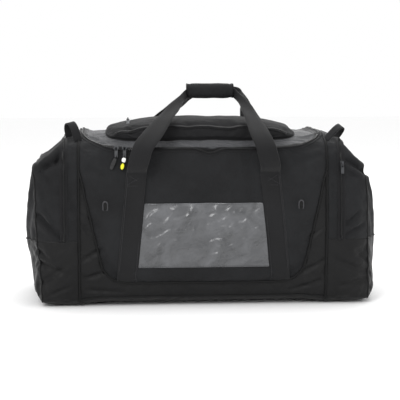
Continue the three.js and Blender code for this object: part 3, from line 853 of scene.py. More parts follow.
PANEL_FINISH = {
    "front_panel": (POLYESTER, "polyester", "bag"),
    "back_panel": (POLYESTER, "polyester", "bag"),
    "gusset": (POLYESTER, "polyester", "bag"),
    "end_door": (POLYESTER, "polyester", None),
    "end_cap": (COATED, "coated_cloth", "bag"),
    "front_band": (COATED, "coated_cloth", "bag"),
    "back_band": (COATED, "coated_cloth", "bag"),
    "bottom_panel": (COATED, "coated_cloth", "bag"),
    "lid_panel": (RIPSTOP, "lid_cloth", "lid"),
}


def sewn_skin():
    """The bag's cloth, made as one surface and then cut into its panels. Also gives the seams' lines."""
    skin, half = divided_box()
    wrap_on_shell(skin, half)
    relax(skin, coordinates(skin), (), 3)
    regions, seams = snap_seams(skin)
    recalculate_faces(skin)
    lines = seam_lines(skin, regions)
    # The boots and end panels are one soft end, so their seam is held only along the front and back.
    held = [
        i
        for i, p in enumerate(coordinates(skin))
        if p[2] < 0.012 or i in seams and (seams[i] != {"cap"} or abs(p[0]) < CORNER_X + 0.004)
    ]
    swell(skin, held, 0.009, pressure=1.4, shrink=-0.02, frames=22, gravity=0.2)
    settle(skin)
    points = coordinates(skin)
    paths = {
        name: [([Vector(points[i]) for i in line], closed) for line, closed in found]
        for name, found in lines.items()
    }
    panels = sorted({panel for panel, _ in regions})
    for panel in panels:
        skin.data.materials.append(bpy.data.materials.new(panel))
    for polygon, (panel, _) in zip(skin.data.polygons, regions):
        polygon.material_index = panels.index(panel)
    modify(skin, "SUBSURF", levels=1, render_levels=1)
    press_folds(skin)
    surface = tree_of(skin)
    pick(skin)
    bpy.ops.object.mode_set(mode="EDIT")
    bpy.ops.mesh.select_all(action="SELECT")
    bpy.ops.mesh.separate(type="MATERIAL")
    bpy.ops.object.mode_set(mode="OBJECT")
    pieces = {}
    for part in list(bpy.context.selected_objects):
        panel = part.data.materials[part.data.polygons[0].material_index].name
        part.name = part.data.name = f"{panel}_cloth"
        pieces[panel] = part
    for panel, part in pieces.items():
        finish, slot, body = next(v for k, v in PANEL_FINISH.items() if panel.startswith(k))
        part.data.polygons.foreach_set("material_index", [0] * len(part.data.polygons))
        dress(part, finish, slot, body or panel, panel)
        part.data.materials.append(LINING)
        modify(part, "SOLIDIFY", thickness=0.0026, offset=-1.0, material_offset=1, material_offset_rim=0)
        cloth_uv(part)
        part.data.polygons.foreach_set("use_smooth", [True] * len(part.data.polygons))
    return surface, paths


def recalculate_faces(piece):
    pick(piece)
    bpy.ops.object.mode_set(mode="EDIT")
    bpy.ops.mesh.select_all(action="SELECT")
    bpy.ops.mesh.normals_make_consistent(inside=False)
    bpy.ops.object.mode_set(mode="OBJECT")



# ---------------------------------------------------------------- lines and strips on the skin


class Skin:
    """The outside of the sewn bag, for the pieces that lie on it."""

    def __init__(self, tree):
        self.tree = tree

    def front(self, x, z, face=-1):
        spot, normal = self.tree.ray_cast(Vector((x, face, z)), Vector((0, -face, 0)))[:2]
        return spot, normal

    def top(self, x, y):
        spot, normal = self.tree.ray_cast(Vector((x, y, 1)), Vector((0, 0, -1)))[:2]
        return spot, normal

    def near(self, point):
        spot, normal = self.tree.find_nearest(Vector(point))[:2]
        return spot, normal


def sweep(name, rings, closed=False, along=None, around=None):
    """A solid through rings of points, with its cloth layout along and around it in metres."""
    count, size = len(rings), len(rings[0])
    faces, places = [], []
    for i in range(count if closed else count - 1):
        for k in range(size):
            corners = ((i, k), (i, k + 1), (i + 1, k + 1), (i + 1, k))
            faces.append([(a % count) * size + b % size for a, b in corners])
            places += corners
    if not closed:
        for i in (0, count - 1):
            corners = [(i, k) for k in range(size)]
            faces.append([a * size + b for a, b in corners])
            places += corners
    piece = new_mesh(name, [q for ring in rings for q in ring], faces)
    if along:
        along, around = list(along), list(around)
        if closed:
            along.append(2 * along[-1] - along[-2])
        around.append(2 * around[-1] - around[-2])
        layer = piece.data.uv_layers.new(name="cloth")
        layer.data.foreach_set("uv", [v for a, b in places for v in (around[b], along[a])])
    recalculate(piece)
    return piece


def lengths_of(points):
    total, found = 0.0, [0.0]
    for a, b in zip(points, points[1:]):
        total += (b - a).length
        found.append(total)
    return found


def softened(points, closed, rounds=3):
    """Takes the corners of the cells out of a line on the skin."""
    p = [Vector(q) for q in points]
    for _ in range(rounds):
        q = [v.copy() for v in p]
        for i in range(0 if closed else 1, len(p) if closed else len(p) - 1):
            q[i] = (p[i - 1] + 2 * p[i] + p[(i + 1) % len(p)]) / 4
        p = q
    return p


def clear_runs(paths, low=0.008):
    """The parts of each path that are clear of the floor, as open paths."""
    runs = []
    for points, closed in paths:
        if all(q.z > low for q in points):
            runs.append((points, closed))
            continue
        if closed:
            start = next(i for i, q in enumerate(points) if q.z <= low)
            points = points[start:] + points[:start]
        run = []
        for q in points + [Vector((0, 0, 0))]:
            if q.z > low:
                run.append(q)
            elif run:
                if len(run) > 3:
                    runs.append((run, False))
                run = []
    return runs


def cord_along(name, paths, skin, radius, lift=0.0, sides=8, spacing=0.006, rounds=3):
    """A round cord on the skin along each path. A path is its points and whether it closes."""
    cords = []
    for points, closed in clear_runs(paths):
        p = softened(points, closed, rounds)
        line = evenly(p + p[:1] if closed else p, spacing)
        if closed:
            line = line[:-1]
        if len(line) < 4:
            continue
        line = softened([skin.near(q)[0] for q in line], closed, 1)
        rings = []
        for i, spot in enumerate(line):
            before = line[i - 1] if closed or i else line[i]
            after = line[(i + 1) % len(line)] if closed or i < len(line) - 1 else line[i]
            way = (after - before).normalized()
            _, normal = skin.near(spot)
            out = (normal - way * normal.dot(way)).normalized()
            across = way.cross(out)
            middle = spot + out * lift
            turn = 2 * math.pi / sides
            rings.append(
                [middle + (out * math.cos(k * turn) + across * math.sin(k * turn)) * radius for k in range(sides)]
            )
        girth = [2 * math.pi * radius * k / sides for k in range(sides)]
        cords.append(sweep(name, rings, closed, lengths_of(line), girth))
    return join(name, *cords)


def strip(name, middles, acrosses, outs, thickness, closed=False):
    """A flat woven strip with rounded edges. Each across is half its width long, each out is a unit."""
    profile = [(-1, 0), (-0.96, 1), (-0.5, 1.1), (0, 1.12), (0.5, 1.1), (0.96, 1)]
    profile += [(1, 0), (0.96, -1), (0.5, -1), (0, -1), (-0.5, -1), (-0.96, -1)]
    rings = [
        [m + a * u + n * (v * thickness / 2) for u, v in profile] for m, a, n in zip(middles, acrosses, outs)
    ]
    width = 2 * acrosses[0].length
    around = [width * (u + 1) / 2 for u, _ in profile[:7]]
    around += [2 * width - width * (u + 1) / 2 for u, _ in profile[7:]]
    return sweep(name, rings, closed, lengths_of(middles), around)


def blocks(name, places):
    """Many small blocks in one piece. A place is a centre and three half-length vectors."""
    corners = [(x, y, z) for x in (-1, 1) for y in (-1, 1) for z in (-1, 1)]
    block_faces = ((0, 1, 3, 2), (4, 6, 7, 5), (0, 4, 5, 1), (2, 3, 7, 6), (0, 2, 6, 4), (1, 5, 7, 3))
    points, faces = [], []
    for middle, a, b, c in places:
        base = len(points)
        for x, y, z in corners:
            narrow = 0.72 if z > 0 else 1.0
            points.append(middle + a * (x * narrow) + b * (y * narrow) + c * z)
        faces += [[base + i for i in face] for face in block_faces]
    piece = new_mesh(name, points, faces, smooth=False)
    recalculate_faces(piece)
    return piece


def stitching(name, rows, length=0.0034, pitch=0.0048, width=0.00045):
    """Rows of lockstitches. A row is a list of points already on the surface, and their normals."""
    places = []
    for points, normals in rows:
        at = lengths_of(points)
        p = np.array([tuple(q) for q in points])
        n = np.array([tuple(q) for q in normals])
        for s in np.arange(pitch / 2, at[-1] - length / 2, pitch):
            spot = Vector([np.interp(s, at, p[:, k]) for k in range(3)])
            ahead = Vector([np.interp(s + length / 2, at, p[:, k]) for k in range(3)])
            out = Vector([np.interp(s, at, n[:, k]) for k in range(3)]).normalized()
            way = ahead - spot
            if way.length < 1e-5:
                continue
            side = out.cross(way).normalized()
            places.append((spot, way, side * width, out * width))
    return blocks(name, places)


def coil(name, points, outs, pitch=0.0026, reach=0.0021, lift=0.0018):
    """Interlocking zip teeth, one from each side in turn."""
    line = evenly(points, pitch)
    at, places = lengths_of(points), []
    n = np.array([tuple(q) for q in outs])
    p = lengths_of(line)
    for i in range(1, len(line) - 1):
        way = (line[i + 1] - line[i - 1]).normalized()
        s = p[i] * at[-1] / p[-1]
        out = Vector([np.interp(s, at, n[:, k]) for k in range(3)]).normalized()
        across = way.cross(out).normalized()
        shift = 0.0009 if i % 2 else -0.0009
        places.append((line[i] + across * shift + out * lift, way * 0.00105, across * reach, out * 0.0011))
    return blocks(name, places)


# ---------------------------------------------------------------- piping


def piping(skin, paths):
    side_names = ("left", "right")
    for face in ("front", "back"):
        cord = cord_along(f"piping_{face}_curve_cord", paths[("curve", face)], skin, 0.0031, 0.0012)
        dress(cord, BINDING, "piping", "bag", f"piping_{face}_curve")
    for side in side_names:
        main = cord_along(f"piping_seam_{side}_cord", paths[("main", side)], skin, 0.0031, 0.001)
        dress(main, BINDING, "piping", "bag", f"piping_seam_{side}")
        low = paths[("boot_corner", side)] + [
            ([q for q in points if abs(q.x) > CORNER_X - 0.004], False) for points, _ in paths[("cap", side)]
        ]
        cap = cord_along(f"piping_cap_{side}_cord", low, skin, 0.0024, 0.0002)
        dress(cap, BINDING, "piping", "bag", f"piping_cap_{side}")
        door = cord_along(f"piping_door_{side}_cord", paths[("door_corner", side)], skin, 0.0024, 0.0, rounds=12)
        dress(door, BINDING, "piping", f"end_door_{side}", f"piping_door_{side}")
    seam = cord_along("piping_base_cord", paths[("base", "")], skin, 0.0016, 0.0002)
    dress(seam, BINDING, "piping", "bag", "bottom_panel")


# ---------------------------------------------------------------- zips

MAIN_TAPE = 0.0095
END_TAPE = 0.0100


def lid_outline(offset, spacing=0.006):
    """The lid's front and end edges, moved outwards by offset, from its back left to its back right."""
    x, y, r = LID_X + offset, LID_Y + offset, LID_RADIUS + offset
    points = [Vector((-x, LID_Y - 0.004, 0)), Vector((-x, r - y, 0))]
    for k in range(1, 13):
        angle = math.pi * (1 + k / 24)
        points.append(Vector((-x + r + r * math.cos(angle), -y + r + r * math.sin(angle), 0)))
    points += [Vector((-q.x, q.y, 0)) for q in reversed(points)]
    return evenly(points, spacing)


def on_top(skin, flat, lift):
    spots = [skin.top(q.x, q.y) for q in flat]
    points = softened([s + n * lift for s, n in spots], False, 4)
    return points, [n for _, n in spots]


def lid_edge(skin):
    """The lid's edge on the skin, with the skin's outward normal and the way down from the lid at each point."""
    line = resampled(on_top(skin, lid_outline(0.0), 0.0)[0], 420)
    line = softened(line, False, 30)
    outs = [n.normalized() for n in softened([skin.near(q)[1] for q in line], False, 12)]
    downs = []
    for i, out in enumerate(outs):
        way = line[min(i + 1, len(line) - 1)] - line[max(i - 1, 0)]
        downs.append(way.cross(out).normalized())
    return line, outs, downs


def beside(skin, edge, distance, lift=0.0):
    """The line on the skin at a distance down from the lid's edge."""
    line, outs, downs = edge
    spots = [skin.near(q + d * distance)[0] + n * lift for q, n, d in zip(line, outs, downs)]
    return softened(spots, False, 8)


def ribbon_between(name, skin, edge, inner, outer, lift, thickness=0.0011):
    """A strip of tape on the skin between two distances from the lid's edge."""
    a, b = beside(skin, edge, inner, lift), beside(skin, edge, outer, lift)
    middles = [(u + v) / 2 for u, v in zip(a, b)]
    acrosses = [(v - u) / 2 for u, v in zip(a, b)]
    return strip(name, middles, acrosses, edge[1], thickness)


def resampled(points, count):
    at = lengths_of(points)
    p = np.array([tuple(q) for q in points])
    return [Vector([np.interp(s, at, p[:, k]) for k in range(3)]) for s in np.linspace(0, at[-1], count)]


def main_zip(skin):
    edge = lid_edge(skin)
    tape = ribbon_between("main_zip_outer_tape", skin, edge, 0.0006, MAIN_TAPE, 0.0009)
    dress(tape, ZIP_TAPE, "zip_tape", "bag", "main_zip_bag_tape")
    tape = ribbon_between("main_zip_inner_tape", skin, edge, -0.0085, -0.0006, 0.0009)
    dress(tape, ZIP_TAPE, "zip_tape", "lid", "main_zip_lid_tape")
    teeth = coil("main_zip_coil", beside(skin, edge, 0.0028, 0.0013), edge[1])
    dress(teeth, COIL, "zip_tape", "bag", "main_zip_bag_tape")
    # The panel's cloth is folded under beside the tape, and stands up a little as a welt.
    for name, offset, body, finish, slot, node in (
        ("main_zip_outer_welt", MAIN_TAPE + 0.0014, "bag", POLYESTER, "polyester", "main_zip_bag_tape"),
        ("main_zip_inner_welt", -0.0098, "lid", RIPSTOP, "lid_cloth", "main_zip_lid_tape"),
    ):
        welt = cord_along(name, [(beside(skin, edge, offset), False)], skin, 0.0019, 0.0)
        dress(welt, finish, slot, body, node)


def end_zips(skin, paths):
    for side, sign in (("left", -1), ("right", 1)):
        line = softened(paths[("zip", side)][0][0], False, 4)
        line = evenly(line, 0.006)
        outs = [skin.near(q)[1] for q in line]
        across = Vector((sign * END_TAPE / 2, 0, 0))
        for name, shift, body in (("inner", -1, "bag"), ("outer", 1, f"end_door_{side}")):
            middles = [skin.near(q + across * shift)[0] + n * 0.001 for q, n in zip(line, outs)]
            middles = softened(middles, False, 2)
            tape = strip(f"end_zip_{side}_{name}_tape", middles, [across * 0.93] * len(middles), outs, 0.0013)
            dress(tape, ZIP_TAPE, "zip_tape", body, f"end_zip_{side}")
        teeth = coil(f"end_zip_{side}_coil", [q + n * 0.0012 for q, n in zip(line, outs)], outs)
        dress(teeth, COIL, "zip_tape", "bag", f"end_zip_{side}")


# ---------------------------------------------------------------- webbing


def strap_x(z):
    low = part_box("strap_front_left")[0].z
    return STRAP_HIGH_X + (STRAP_LOW_X - STRAP_HIGH_X) * (STRAP_TOP_Z - z) / (STRAP_TOP_Z - low)


def handle_points(face):
    """Centre points of a handle's webbing: up the left leg, through the grip and down the right one."""
    deep = abs(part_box("front_handle")[0].y) - 0.0015
    left = [
        (-0.1672, deep - 0.005, 0.364),
        (-0.1605, deep, 0.388),
        (-0.1530, deep - 0.003, 0.411),
        (-0.1300, deep - 0.026, 0.4395),
        (-0.0985, 0.149, 0.476),
        (-0.0710, 0.097, 0.503),
        (-0.0520, 0.052, 0.5195),
        (-0.0400, 0.024, 0.531),
        (-0.0240, 0.0125, 0.5415),
    ]
    top = [(0.0, 0.0112, 0.5445), (0.03, 0.0112, 0.5445), (0.06, 0.0112, 0.5445)]
    right = [
        (0.0860, 0.0125, 0.5430),
        (0.1000, 0.024, 0.532),
        (0.1110, 0.052, 0.5185),
        (0.1205, 0.097, 0.500),
        (0.1320, 0.149, 0.472),
        (0.1435, deep - 0.026, 0.4395),
        (0.1550, deep - 0.003, 0.411),
        (0.1605, deep, 0.388),
        (0.1672, deep - 0.005, 0.364),
    ]
    if face > 0:
        # The grip drags the back handle further along, so its legs lie behind the front ones from the left.
        left = [(x + 0.016 * smoothstep(z, 0.40, 0.44), y, z) for x, y, z in left]
        right = [(x + 0.016 * smoothstep(z, 0.40, 0.44), y, z) for x, y, z in right]
    return [Vector((x, face * y, z)) for x, y, z in left + top + right]


def handle_webbing(skin):
    for name, face in (("front", -1), ("back", 1)):
        low = CURVE_Z + 0.006
        sewn = [
            skin.front(-strap_x(z), z, face)[0] + Vector((0, face * 0.0016, 0))
            for z in np.linspace(low, STRAP_TOP_Z - 0.004, 44)
        ]
        sewn = softened(sewn, False, 10)
        other = [Vector((-q.x, skin.front(-q.x, q.z, face)[0].y + face * 0.0016, q.z)) for q in sewn]
        other = softened(other, False, 10)
        line = sewn + spline([sewn[-1]] + handle_points(face) + [other[-1]], 0.004)[1:-1] + other[::-1]
        line = evenly(softened(line, False, 3), 0.005)
        middles, acrosses, outs = [], [], []
        for i, spot in enumerate(line):
            way = (line[min(i + 1, len(line) - 1)] - line[max(i - 1, 0)]).normalized()
            lifted = smoothstep(spot.z, 0.480, 0.536)
            # The web lies flat along the bag, and is turned on edge where the grip gathers it.
            flat = Vector((1, 0, 0)) if spot.x < 0.03 else Vector((-1, 0, 0))
            lean = flat * (1 - lifted) + Vector((0, 0, -1)) * lifted
            across = (lean - way * lean.dot(way)).normalized()
            half = WEBBING_WIDTH / 2 * (1 - 0.54 * smoothstep(spot.z, 0.435, 0.536))
            middles.append(spot)
            acrosses.append(across * half)
            out = way.cross(across).normalized()
            outs.append(out)
        for i in range(1, len(outs)):
            if outs[i].dot(outs[i - 1]) < 0:
                outs[i] = -outs[i]
                acrosses[i] = acrosses[i].copy()
        web = strip(f"{name}_handle_webbing", middles, acrosses, outs, 0.0024)
        dress(web, WEBBING, "webbing", None)
        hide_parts(f"{name}_handle", f"strap_{name}_left", f"strap_{name}_right")
        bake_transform(web)
        strap_stitching(name, face, skin)


def strap_stitching(name, face, skin):
    rows = []
    for sign in (-1, 1):

        def seat(u, z):
            spot = skin.front(sign * (strap_x(z) + u), z, face)[0]
            return spot + Vector((0, face * 0.0031, 0))

        out = Vector((0, face, 0))
        low, top = CURVE_Z + 0.010, STRAP_TOP_Z - 0.004
        edge = WEBBING_WIDTH / 2 - 0.004
        for u in (-edge, edge):
            rows.append([seat(u, z) for z in np.linspace(low, top, 40)])
        for z in (top, top - 0.030):
            rows.append([seat(u, z) for u in np.linspace(-edge, edge, 9)])
        for flip in (-1, 1):
            rows.append([seat(flip * u, top - 0.015 + 0.6 * u) for u in np.linspace(-edge, edge, 9)])
    thread = stitching(f"strap_{name}_stitching", [(r, [out] * len(r)) for r in rows])
    dress(thread, THREAD, "webbing", "bag", f"strap_{name}_left", f"strap_{name}_right")


def grab_loops(skin):
    """Short loops of narrow webbing, turned and leaning outwards, with their ends sewn under."""
    for side, sign, turn, lean in (("left", -1, 58, 14), ("right", 1, 56, 42)):
        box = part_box(f"grab_loop_{side}")
        middle = (box[0] + box[1]) / 2
        foot = skin.top(middle.x, middle.y)[0] - Vector((0, 0, 0.012))
        half, rise = 0.0185, 0.056
        arch = [(-half, 0), (-half, 0.45), (-0.86 * half, 0.75), (-0.45 * half, 0.95), (0, 1.0)]
        arch += [(-u, v) for u, v in reversed(arch[:-1])]
        spin = Matrix.Rotation(sign * math.radians(lean), 3, "Y") @ Matrix.Rotation(
            sign * math.radians(turn), 3, "Z"
        )
        curve = spline([Vector((u, 0, v * rise)) for u, v in arch], 0.003)
        middles, acrosses, outs = [], [], []
        for i, spot in enumerate(curve):
            way = (curve[min(i + 1, len(curve) - 1)] - curve[max(i - 1, 0)]).normalized()
            twist = Matrix.Rotation(math.radians(16 * spot.x / half), 3, way)
            across = twist @ Vector((0, 1, 0))
            middles.append(foot - Vector((sign * 0.008, 0, 0)) + spin @ spot)
            acrosses.append(spin @ (across * 0.0105))
            outs.append(spin @ way.cross(across).normalized())
        loop = strip(f"grab_loop_{side}_webbing", middles, acrosses, outs, 0.0022)
        dress(loop, WEBBING, "webbing", "bag", f"grab_loop_{side}")


# ---------------------------------------------------------------- grip


def grip(name="grip_wrap"):
    """A padded sleeve round both bands, open at the back, quilted by a seam near each end."""
    low, high = GRIP
    wall, corner = 0.0048, 0.0135
    middle = (low + high) / 2
    half_z, half_y = (high.z - low.z) / 2, (high.y - low.y) / 2

    def profile(grow):
        """Half sizes shrink with the wall, from the opening's top edge round the front to its low edge."""
        y, z, r = half_y - grow, half_z - grow, max(corner - grow, 0.005)
        points = [(half_y - 0.001, z)]
        for hub, first in (((r - y, z - r), 90), ((r - y, r - z), 180)):
            for k in range(7):
                angle = math.radians(first + 15 * k)
                points.append((hub[0] + r * math.cos(angle), hub[1] + r * math.sin(angle)))
        points.append((half_y - 0.001, -z))
        return points

    def thickened(points, steps=5):
        fine = []
        for a, b in zip(points, points[1:]):
            fine += [tuple(np.add(np.multiply(a, 1 - k / steps), np.multiply(b, k / steps))) for k in range(steps)]
        return fine + [points[-1]]

    outer, inner = thickened(profile(0), 2), thickened(profile(wall), 2)
    rings, along = [], []
    stations = 40
    for i in range(stations + 1):
        u = -1 + 2 * i / stations
        x = middle.x + u * (high.x - low.x) / 2
        end = 1 - abs(u)
        round_over = 1 - 0.10 * math.exp(-end / 0.03)
        channel = 0.0016 * math.exp(-(((abs(u) - 0.86) / 0.035) ** 2))
        ring = []
        for k, (y, z) in enumerate(outer):
            swell = 0.0014 * (1 - u**4) - channel
            swell += 0.0012 * noise.noise(Vector((x * 38, y * 46, z * 46)))
            size = math.hypot(y, z)
            ring.append(Vector((x, middle.y + y * round_over + swell * y / size, middle.z + z * round_over + swell * z / size)))
        ring += [Vector((x, middle.y + y, middle.z + z)) for y, z in reversed(inner)]
        rings.append(ring)
        along.append(x)
    around = [0.004 * k for k in range(len(rings[0]))]
    pad = sweep(name, rings, False, along, around)
    modify(pad, "SUBSURF", levels=1, render_levels=1)
    dress(pad, POLYESTER, "webbing", "front_handle", "grip_pad")
    for sign, label in ((-1, "left"), (1, "right")):
        x = middle.x + sign * ((high.x - low.x) / 2 - 0.0015)
        line = [Vector((x, middle.y + y * 0.93, middle.z + z * 0.93)) for y, z in outer]
        edge = plain_cord(f"grip_edge_{label}", line, 0.0022)
        dress(edge, BINDING, "webbing", "front_handle", "grip_pad")


def plain_cord(name, line, radius, sides=8):
    """A round cord through points in free space."""
    line = evenly(line, radius * 1.4)
    rings = []
    out = None
    for i, spot in enumerate(line):
        way = (line[min(i + 1, len(line) - 1)] - line[max(i - 1, 0)]).normalized()
        out = (out or way.orthogonal()).copy()
        out = (out - way * out.dot(way)).normalized()
        across = way.cross(out)
        turn = 2 * math.pi / sides
        rings.append(
            [spot + (out * math.cos(k * turn) + across * math.sin(k * turn)) * radius for k in range(sides)]
        )
    return sweep(name, rings, False, lengths_of(line), [2 * math.pi * radius * k / sides for k in range(sides)])


def grip_flap():
    """The flap that closes the sleeve, a padded tab with a row of stitching round it; its hook tape is not drawn."""
    low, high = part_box("grip_flap")
    middle, size = (low + high) / 2, high - low
    bpy.ops.object.select_all(action="DESELECT")
    bpy.ops.mesh.primitive_cube_add(size=1, location=middle, scale=(size.x, size.y, size.z - 0.004))
    flap = bpy.context.object
    flap.name = "grip_closing_flap"
    finish_place(flap)
    bpy.ops.object.mode_set(mode="EDIT")
    bpy.ops.mesh.subdivide(number_cuts=11)
    bpy.ops.object.mode_set(mode="OBJECT")
    points = coordinates(flap)
    at = (points - np.array(middle)) / (np.array(size) / 2)
    edge = np.maximum(np.abs(at[:, 0]) ** 6, np.abs(at[:, 2]) ** 6)
    points[:, 1] = middle.y + (points[:, 1] - middle.y) * (1 - 0.45 * np.clip(edge, 0, 1))
    bend = np.array([noise.noise(Vector(q) * 30) for q in points])
    points[:, 1] += 0.0006 * bend
    set_coordinates(flap, points)
    modify(flap, "BEVEL", width=0.0011, segments=2, limit_method="ANGLE")
    cloth_uv(flap)
    dress(flap, POLYESTER, "webbing", "grip_flap", "grip_flap")
    inset = 0.004
    corners = [(-1, -1), (1, -1), (1, 1), (-1, 1), (-1, -1)]
    row = [
        Vector((middle.x + u * (size.x / 2 - inset), high.y - 0.0003, middle.z + v * (size.z / 2 - 2 * inset)))
        for u, v in corners
    ]
    thread = stitching("grip_flap_stitching", [(evenly(row, 0.004), [Vector((0, 1, 0))] * len(evenly(row, 0.004)))])
    dress(thread, THREAD, "webbing", "grip_flap", "grip_flap")


# ---------------------------------------------------------------- lid pocket


def lid_pocket(skin):
    low, high = POCKET
    half = Vector(((high.x - low.x) / 2, (high.y - low.y) / 2, 0))
    radius, rise = 0.050, high.z - CROWN_Z
    bpy.ops.object.select_all(action="DESELECT")
    bpy.ops.mesh.primitive_cube_add(size=2)
    pocket = bpy.context.object
    pocket.name = "lid_pocket_cushion"
    subdivide_axes(pocket, (76, 42, 4))
    points = coordinates(pocket)
    pins, placed = [], []
    for i, (u, v, w) in enumerate(points):
        # A rounded rectangle from the square: each line along X is as long as the outline there.
        x, y = u * half.x, v * half.y
        dy = abs(y) - (half.y - radius)
        reach = half.x - (radius - math.sqrt(max(radius**2 - dy**2, 0)) if dy > 0 else 0)
        x = u * reach
        inside = min(half.x - abs(x), half.y - abs(y), rounded_inset(x, y, half, radius))
        shoulder = math.sqrt(max(1 - (1 - min(max(inside, 0) / 0.016, 1)) ** 2, 0))
        dome = 1 - 0.92 * abs(x / half.x) ** 3 - 0.05 * abs(y / half.y) ** 2
        top, normal = skin.top(x, y)
        height = 0.0035 + (rise - 0.003) * dome * (0.25 + 0.75 * shoulder)
        placed.append(tuple(top + normal * (0.0008 + height * (w + 1) / 2)))
        if w < 0.9 and (w < -0.9 or inside < 0.004):
            pins.append(i)
    set_coordinates(pocket, np.array(placed))
    recalculate_faces(pocket)
    swell(pocket, pins, 0.006, pressure=2.2, shrink=-0.03, frames=18)
    normals, points = normals_of(pocket), coordinates(pocket)
    ripple = np.array([noise.fractal(Vector((p[0] * 14, p[1] * 30, p[2] * 14)), 1.0, 2.0, 3) for p in points])
    points += normals * (0.0012 * ripple)[:, None]
    set_coordinates(pocket, points)
    modify(pocket, "SUBSURF", levels=1, render_levels=1)
    cloth_uv(pocket)
    dress(pocket, POCKET_CLOTH, "lid_cloth", "lid", "lid_pocket")
    cushion = Skin(tree_of(pocket))
    rim = []
    for k in range(160):
        angle = 2 * math.pi * k / 160
        rim.append(rounded_point(angle, half + Vector((0.0006, 0.0006, 0)), radius))
    rim = [skin.top(q.x, q.y)[0] + skin.top(q.x, q.y)[1] * 0.0022 for q in rim]
    seam = cord_along("lid_pocket_piping", [(rim, True)], skin, 0.0022, 0.0)
    dress(seam, BINDING, "piping", "lid", "lid_pocket")
    pocket_zip(cushion)


def rounded_inset(x, y, half, radius):
    dx, dy = abs(x) - (half.x - radius), abs(y) - (half.y - radius)
    if dx > 0 and dy > 0:
        return radius - math.hypot(dx, dy)
    return 1.0


def rounded_point(angle, half, radius):
    """The point of a rounded rectangle's outline in a direction, by shortening a ray until it is inside."""
    way = Vector((math.cos(angle) * half.x, math.sin(angle) * half.y, 0))
    size = 1 / max(abs(way.x) / half.x, abs(way.y) / half.y)
    q = way * size
    while rounded_inset(q.x, q.y, half, radius) < 0:
        q *= 0.999
    return q


def pocket_zip(cushion):
    low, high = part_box("lid_pocket_zip")
    y = (low.y + high.y) / 2
    flat = [Vector((x, y, 0)) for x in np.linspace(low.x, high.x, 110)]
    spots = [cushion.top(q.x, q.y) for q in flat]
    middles = softened([s + n * 0.0009 for s, n in spots], False, 8)
    outs = [n for _, n in spots]
    acrosses = [Vector((0, -0.0075, 0)) - n * Vector((0, -0.0075, 0)).dot(n) for n in outs]
    tape = strip("lid_pocket_zip_tape", middles, acrosses, outs, 0.0012)
    dress(tape, ZIP_TAPE, "zip_tape", "lid", "lid_pocket_zip")
    teeth = coil("lid_pocket_zip_coil", [m + n * 0.0006 for m, n in zip(middles, outs)], outs)
    dress(teeth, COIL, "zip_tape", "lid", "lid_pocket_zip")


def subdivide_axes(box, cuts):
    mesh = box.data
    for axis in range(3):
        pick(box)
        bpy.ops.object.mode_set(mode="EDIT")
        bpy.ops.mesh.select_mode(type="EDGE")
        bpy.ops.mesh.select_all(action="DESELECT")
        bpy.ops.object.mode_set(mode="OBJECT")
        for edge in mesh.edges:
            a, b = (mesh.vertices[i].co for i in edge.vertices)
            edge.select = abs((a - b)[axis]) > 1e-4
        bpy.ops.object.mode_set(mode="EDIT")
        bpy.ops.mesh.subdivide(number_cuts=cuts[axis])
        bpy.ops.object.mode_set(mode="OBJECT")


# ---------------------------------------------------------------- name panel and vents


def name_panel(skin):
    """Plain vinyl-coated cloth, creased by use, sewn down between the straps."""
    low, high = NAME_BOX
    columns, rows = 76, 40
    points = []
    for j in range(rows + 1):
        z = low.z + (high.z - low.z) * j / rows
        half = strap_x(z) - WEBBING_WIDTH / 2 - 0.0008
        for i in range(columns + 1):
            x = half * (-1 + 2 * i / columns)
            spot, normal = skin.front(x, z)
            edge = min(half - abs(x), z - low.z, high.z - z)
            loose = min(max(edge / 0.018, 0), 1)
            slant = Vector((x * 9 + z * 13, 0.3, (z - 0.55 * x) * 34))
            ridge = 1 - abs(noise.fractal(slant, 0.9, 2.1, 3))
            buckle = noise.noise(Vector((x * 14 + 3, 0.7, z * 20)))
            lift = 0.0014 + loose * (0.0046 * ridge**4 + 0.0018 * (0.5 + buckle))
            points.append(spot + normal * lift)
    wide = columns + 1
    faces = [
        (j * wide + i, j * wide + i + 1, (j + 1) * wide + i + 1, (j + 1) * wide + i)
        for j in range(rows)
        for i in range(columns)
    ]
    panel = new_mesh("name_panel_vinyl", points, faces)
    recalculate_faces(panel)
    if normals_of(panel)[:, 1].mean() > 0:
        pick(panel)
        bpy.ops.object.mode_set(mode="EDIT")
        bpy.ops.mesh.select_all(action="SELECT")
        bpy.ops.mesh.flip_normals()
        bpy.ops.object.mode_set(mode="OBJECT")
    modify(panel, "SOLIDIFY", thickness=0.0012, offset=0.0)
    modify(panel, "SUBSURF", levels=1, render_levels=1)
    cloth_uv(panel)
    dress(panel, TARPAULIN, "tarpaulin", "bag", "name_panel")
    stitch = []
    for z in (low.z + 0.003, high.z - 0.003):
        half = strap_x(z) - WEBBING_WIDTH / 2 - 0.002
        stitch.append([skin.front(x, z)[0] + Vector((0, -0.0026, 0)) for x in np.linspace(-half, half, 70)])
    thread = stitching("name_panel_stitching", [(r, [Vector((0, -1, 0))] * len(r)) for r in stitch])
    dress(thread, THREAD, "webbing", "bag", "name_panel")


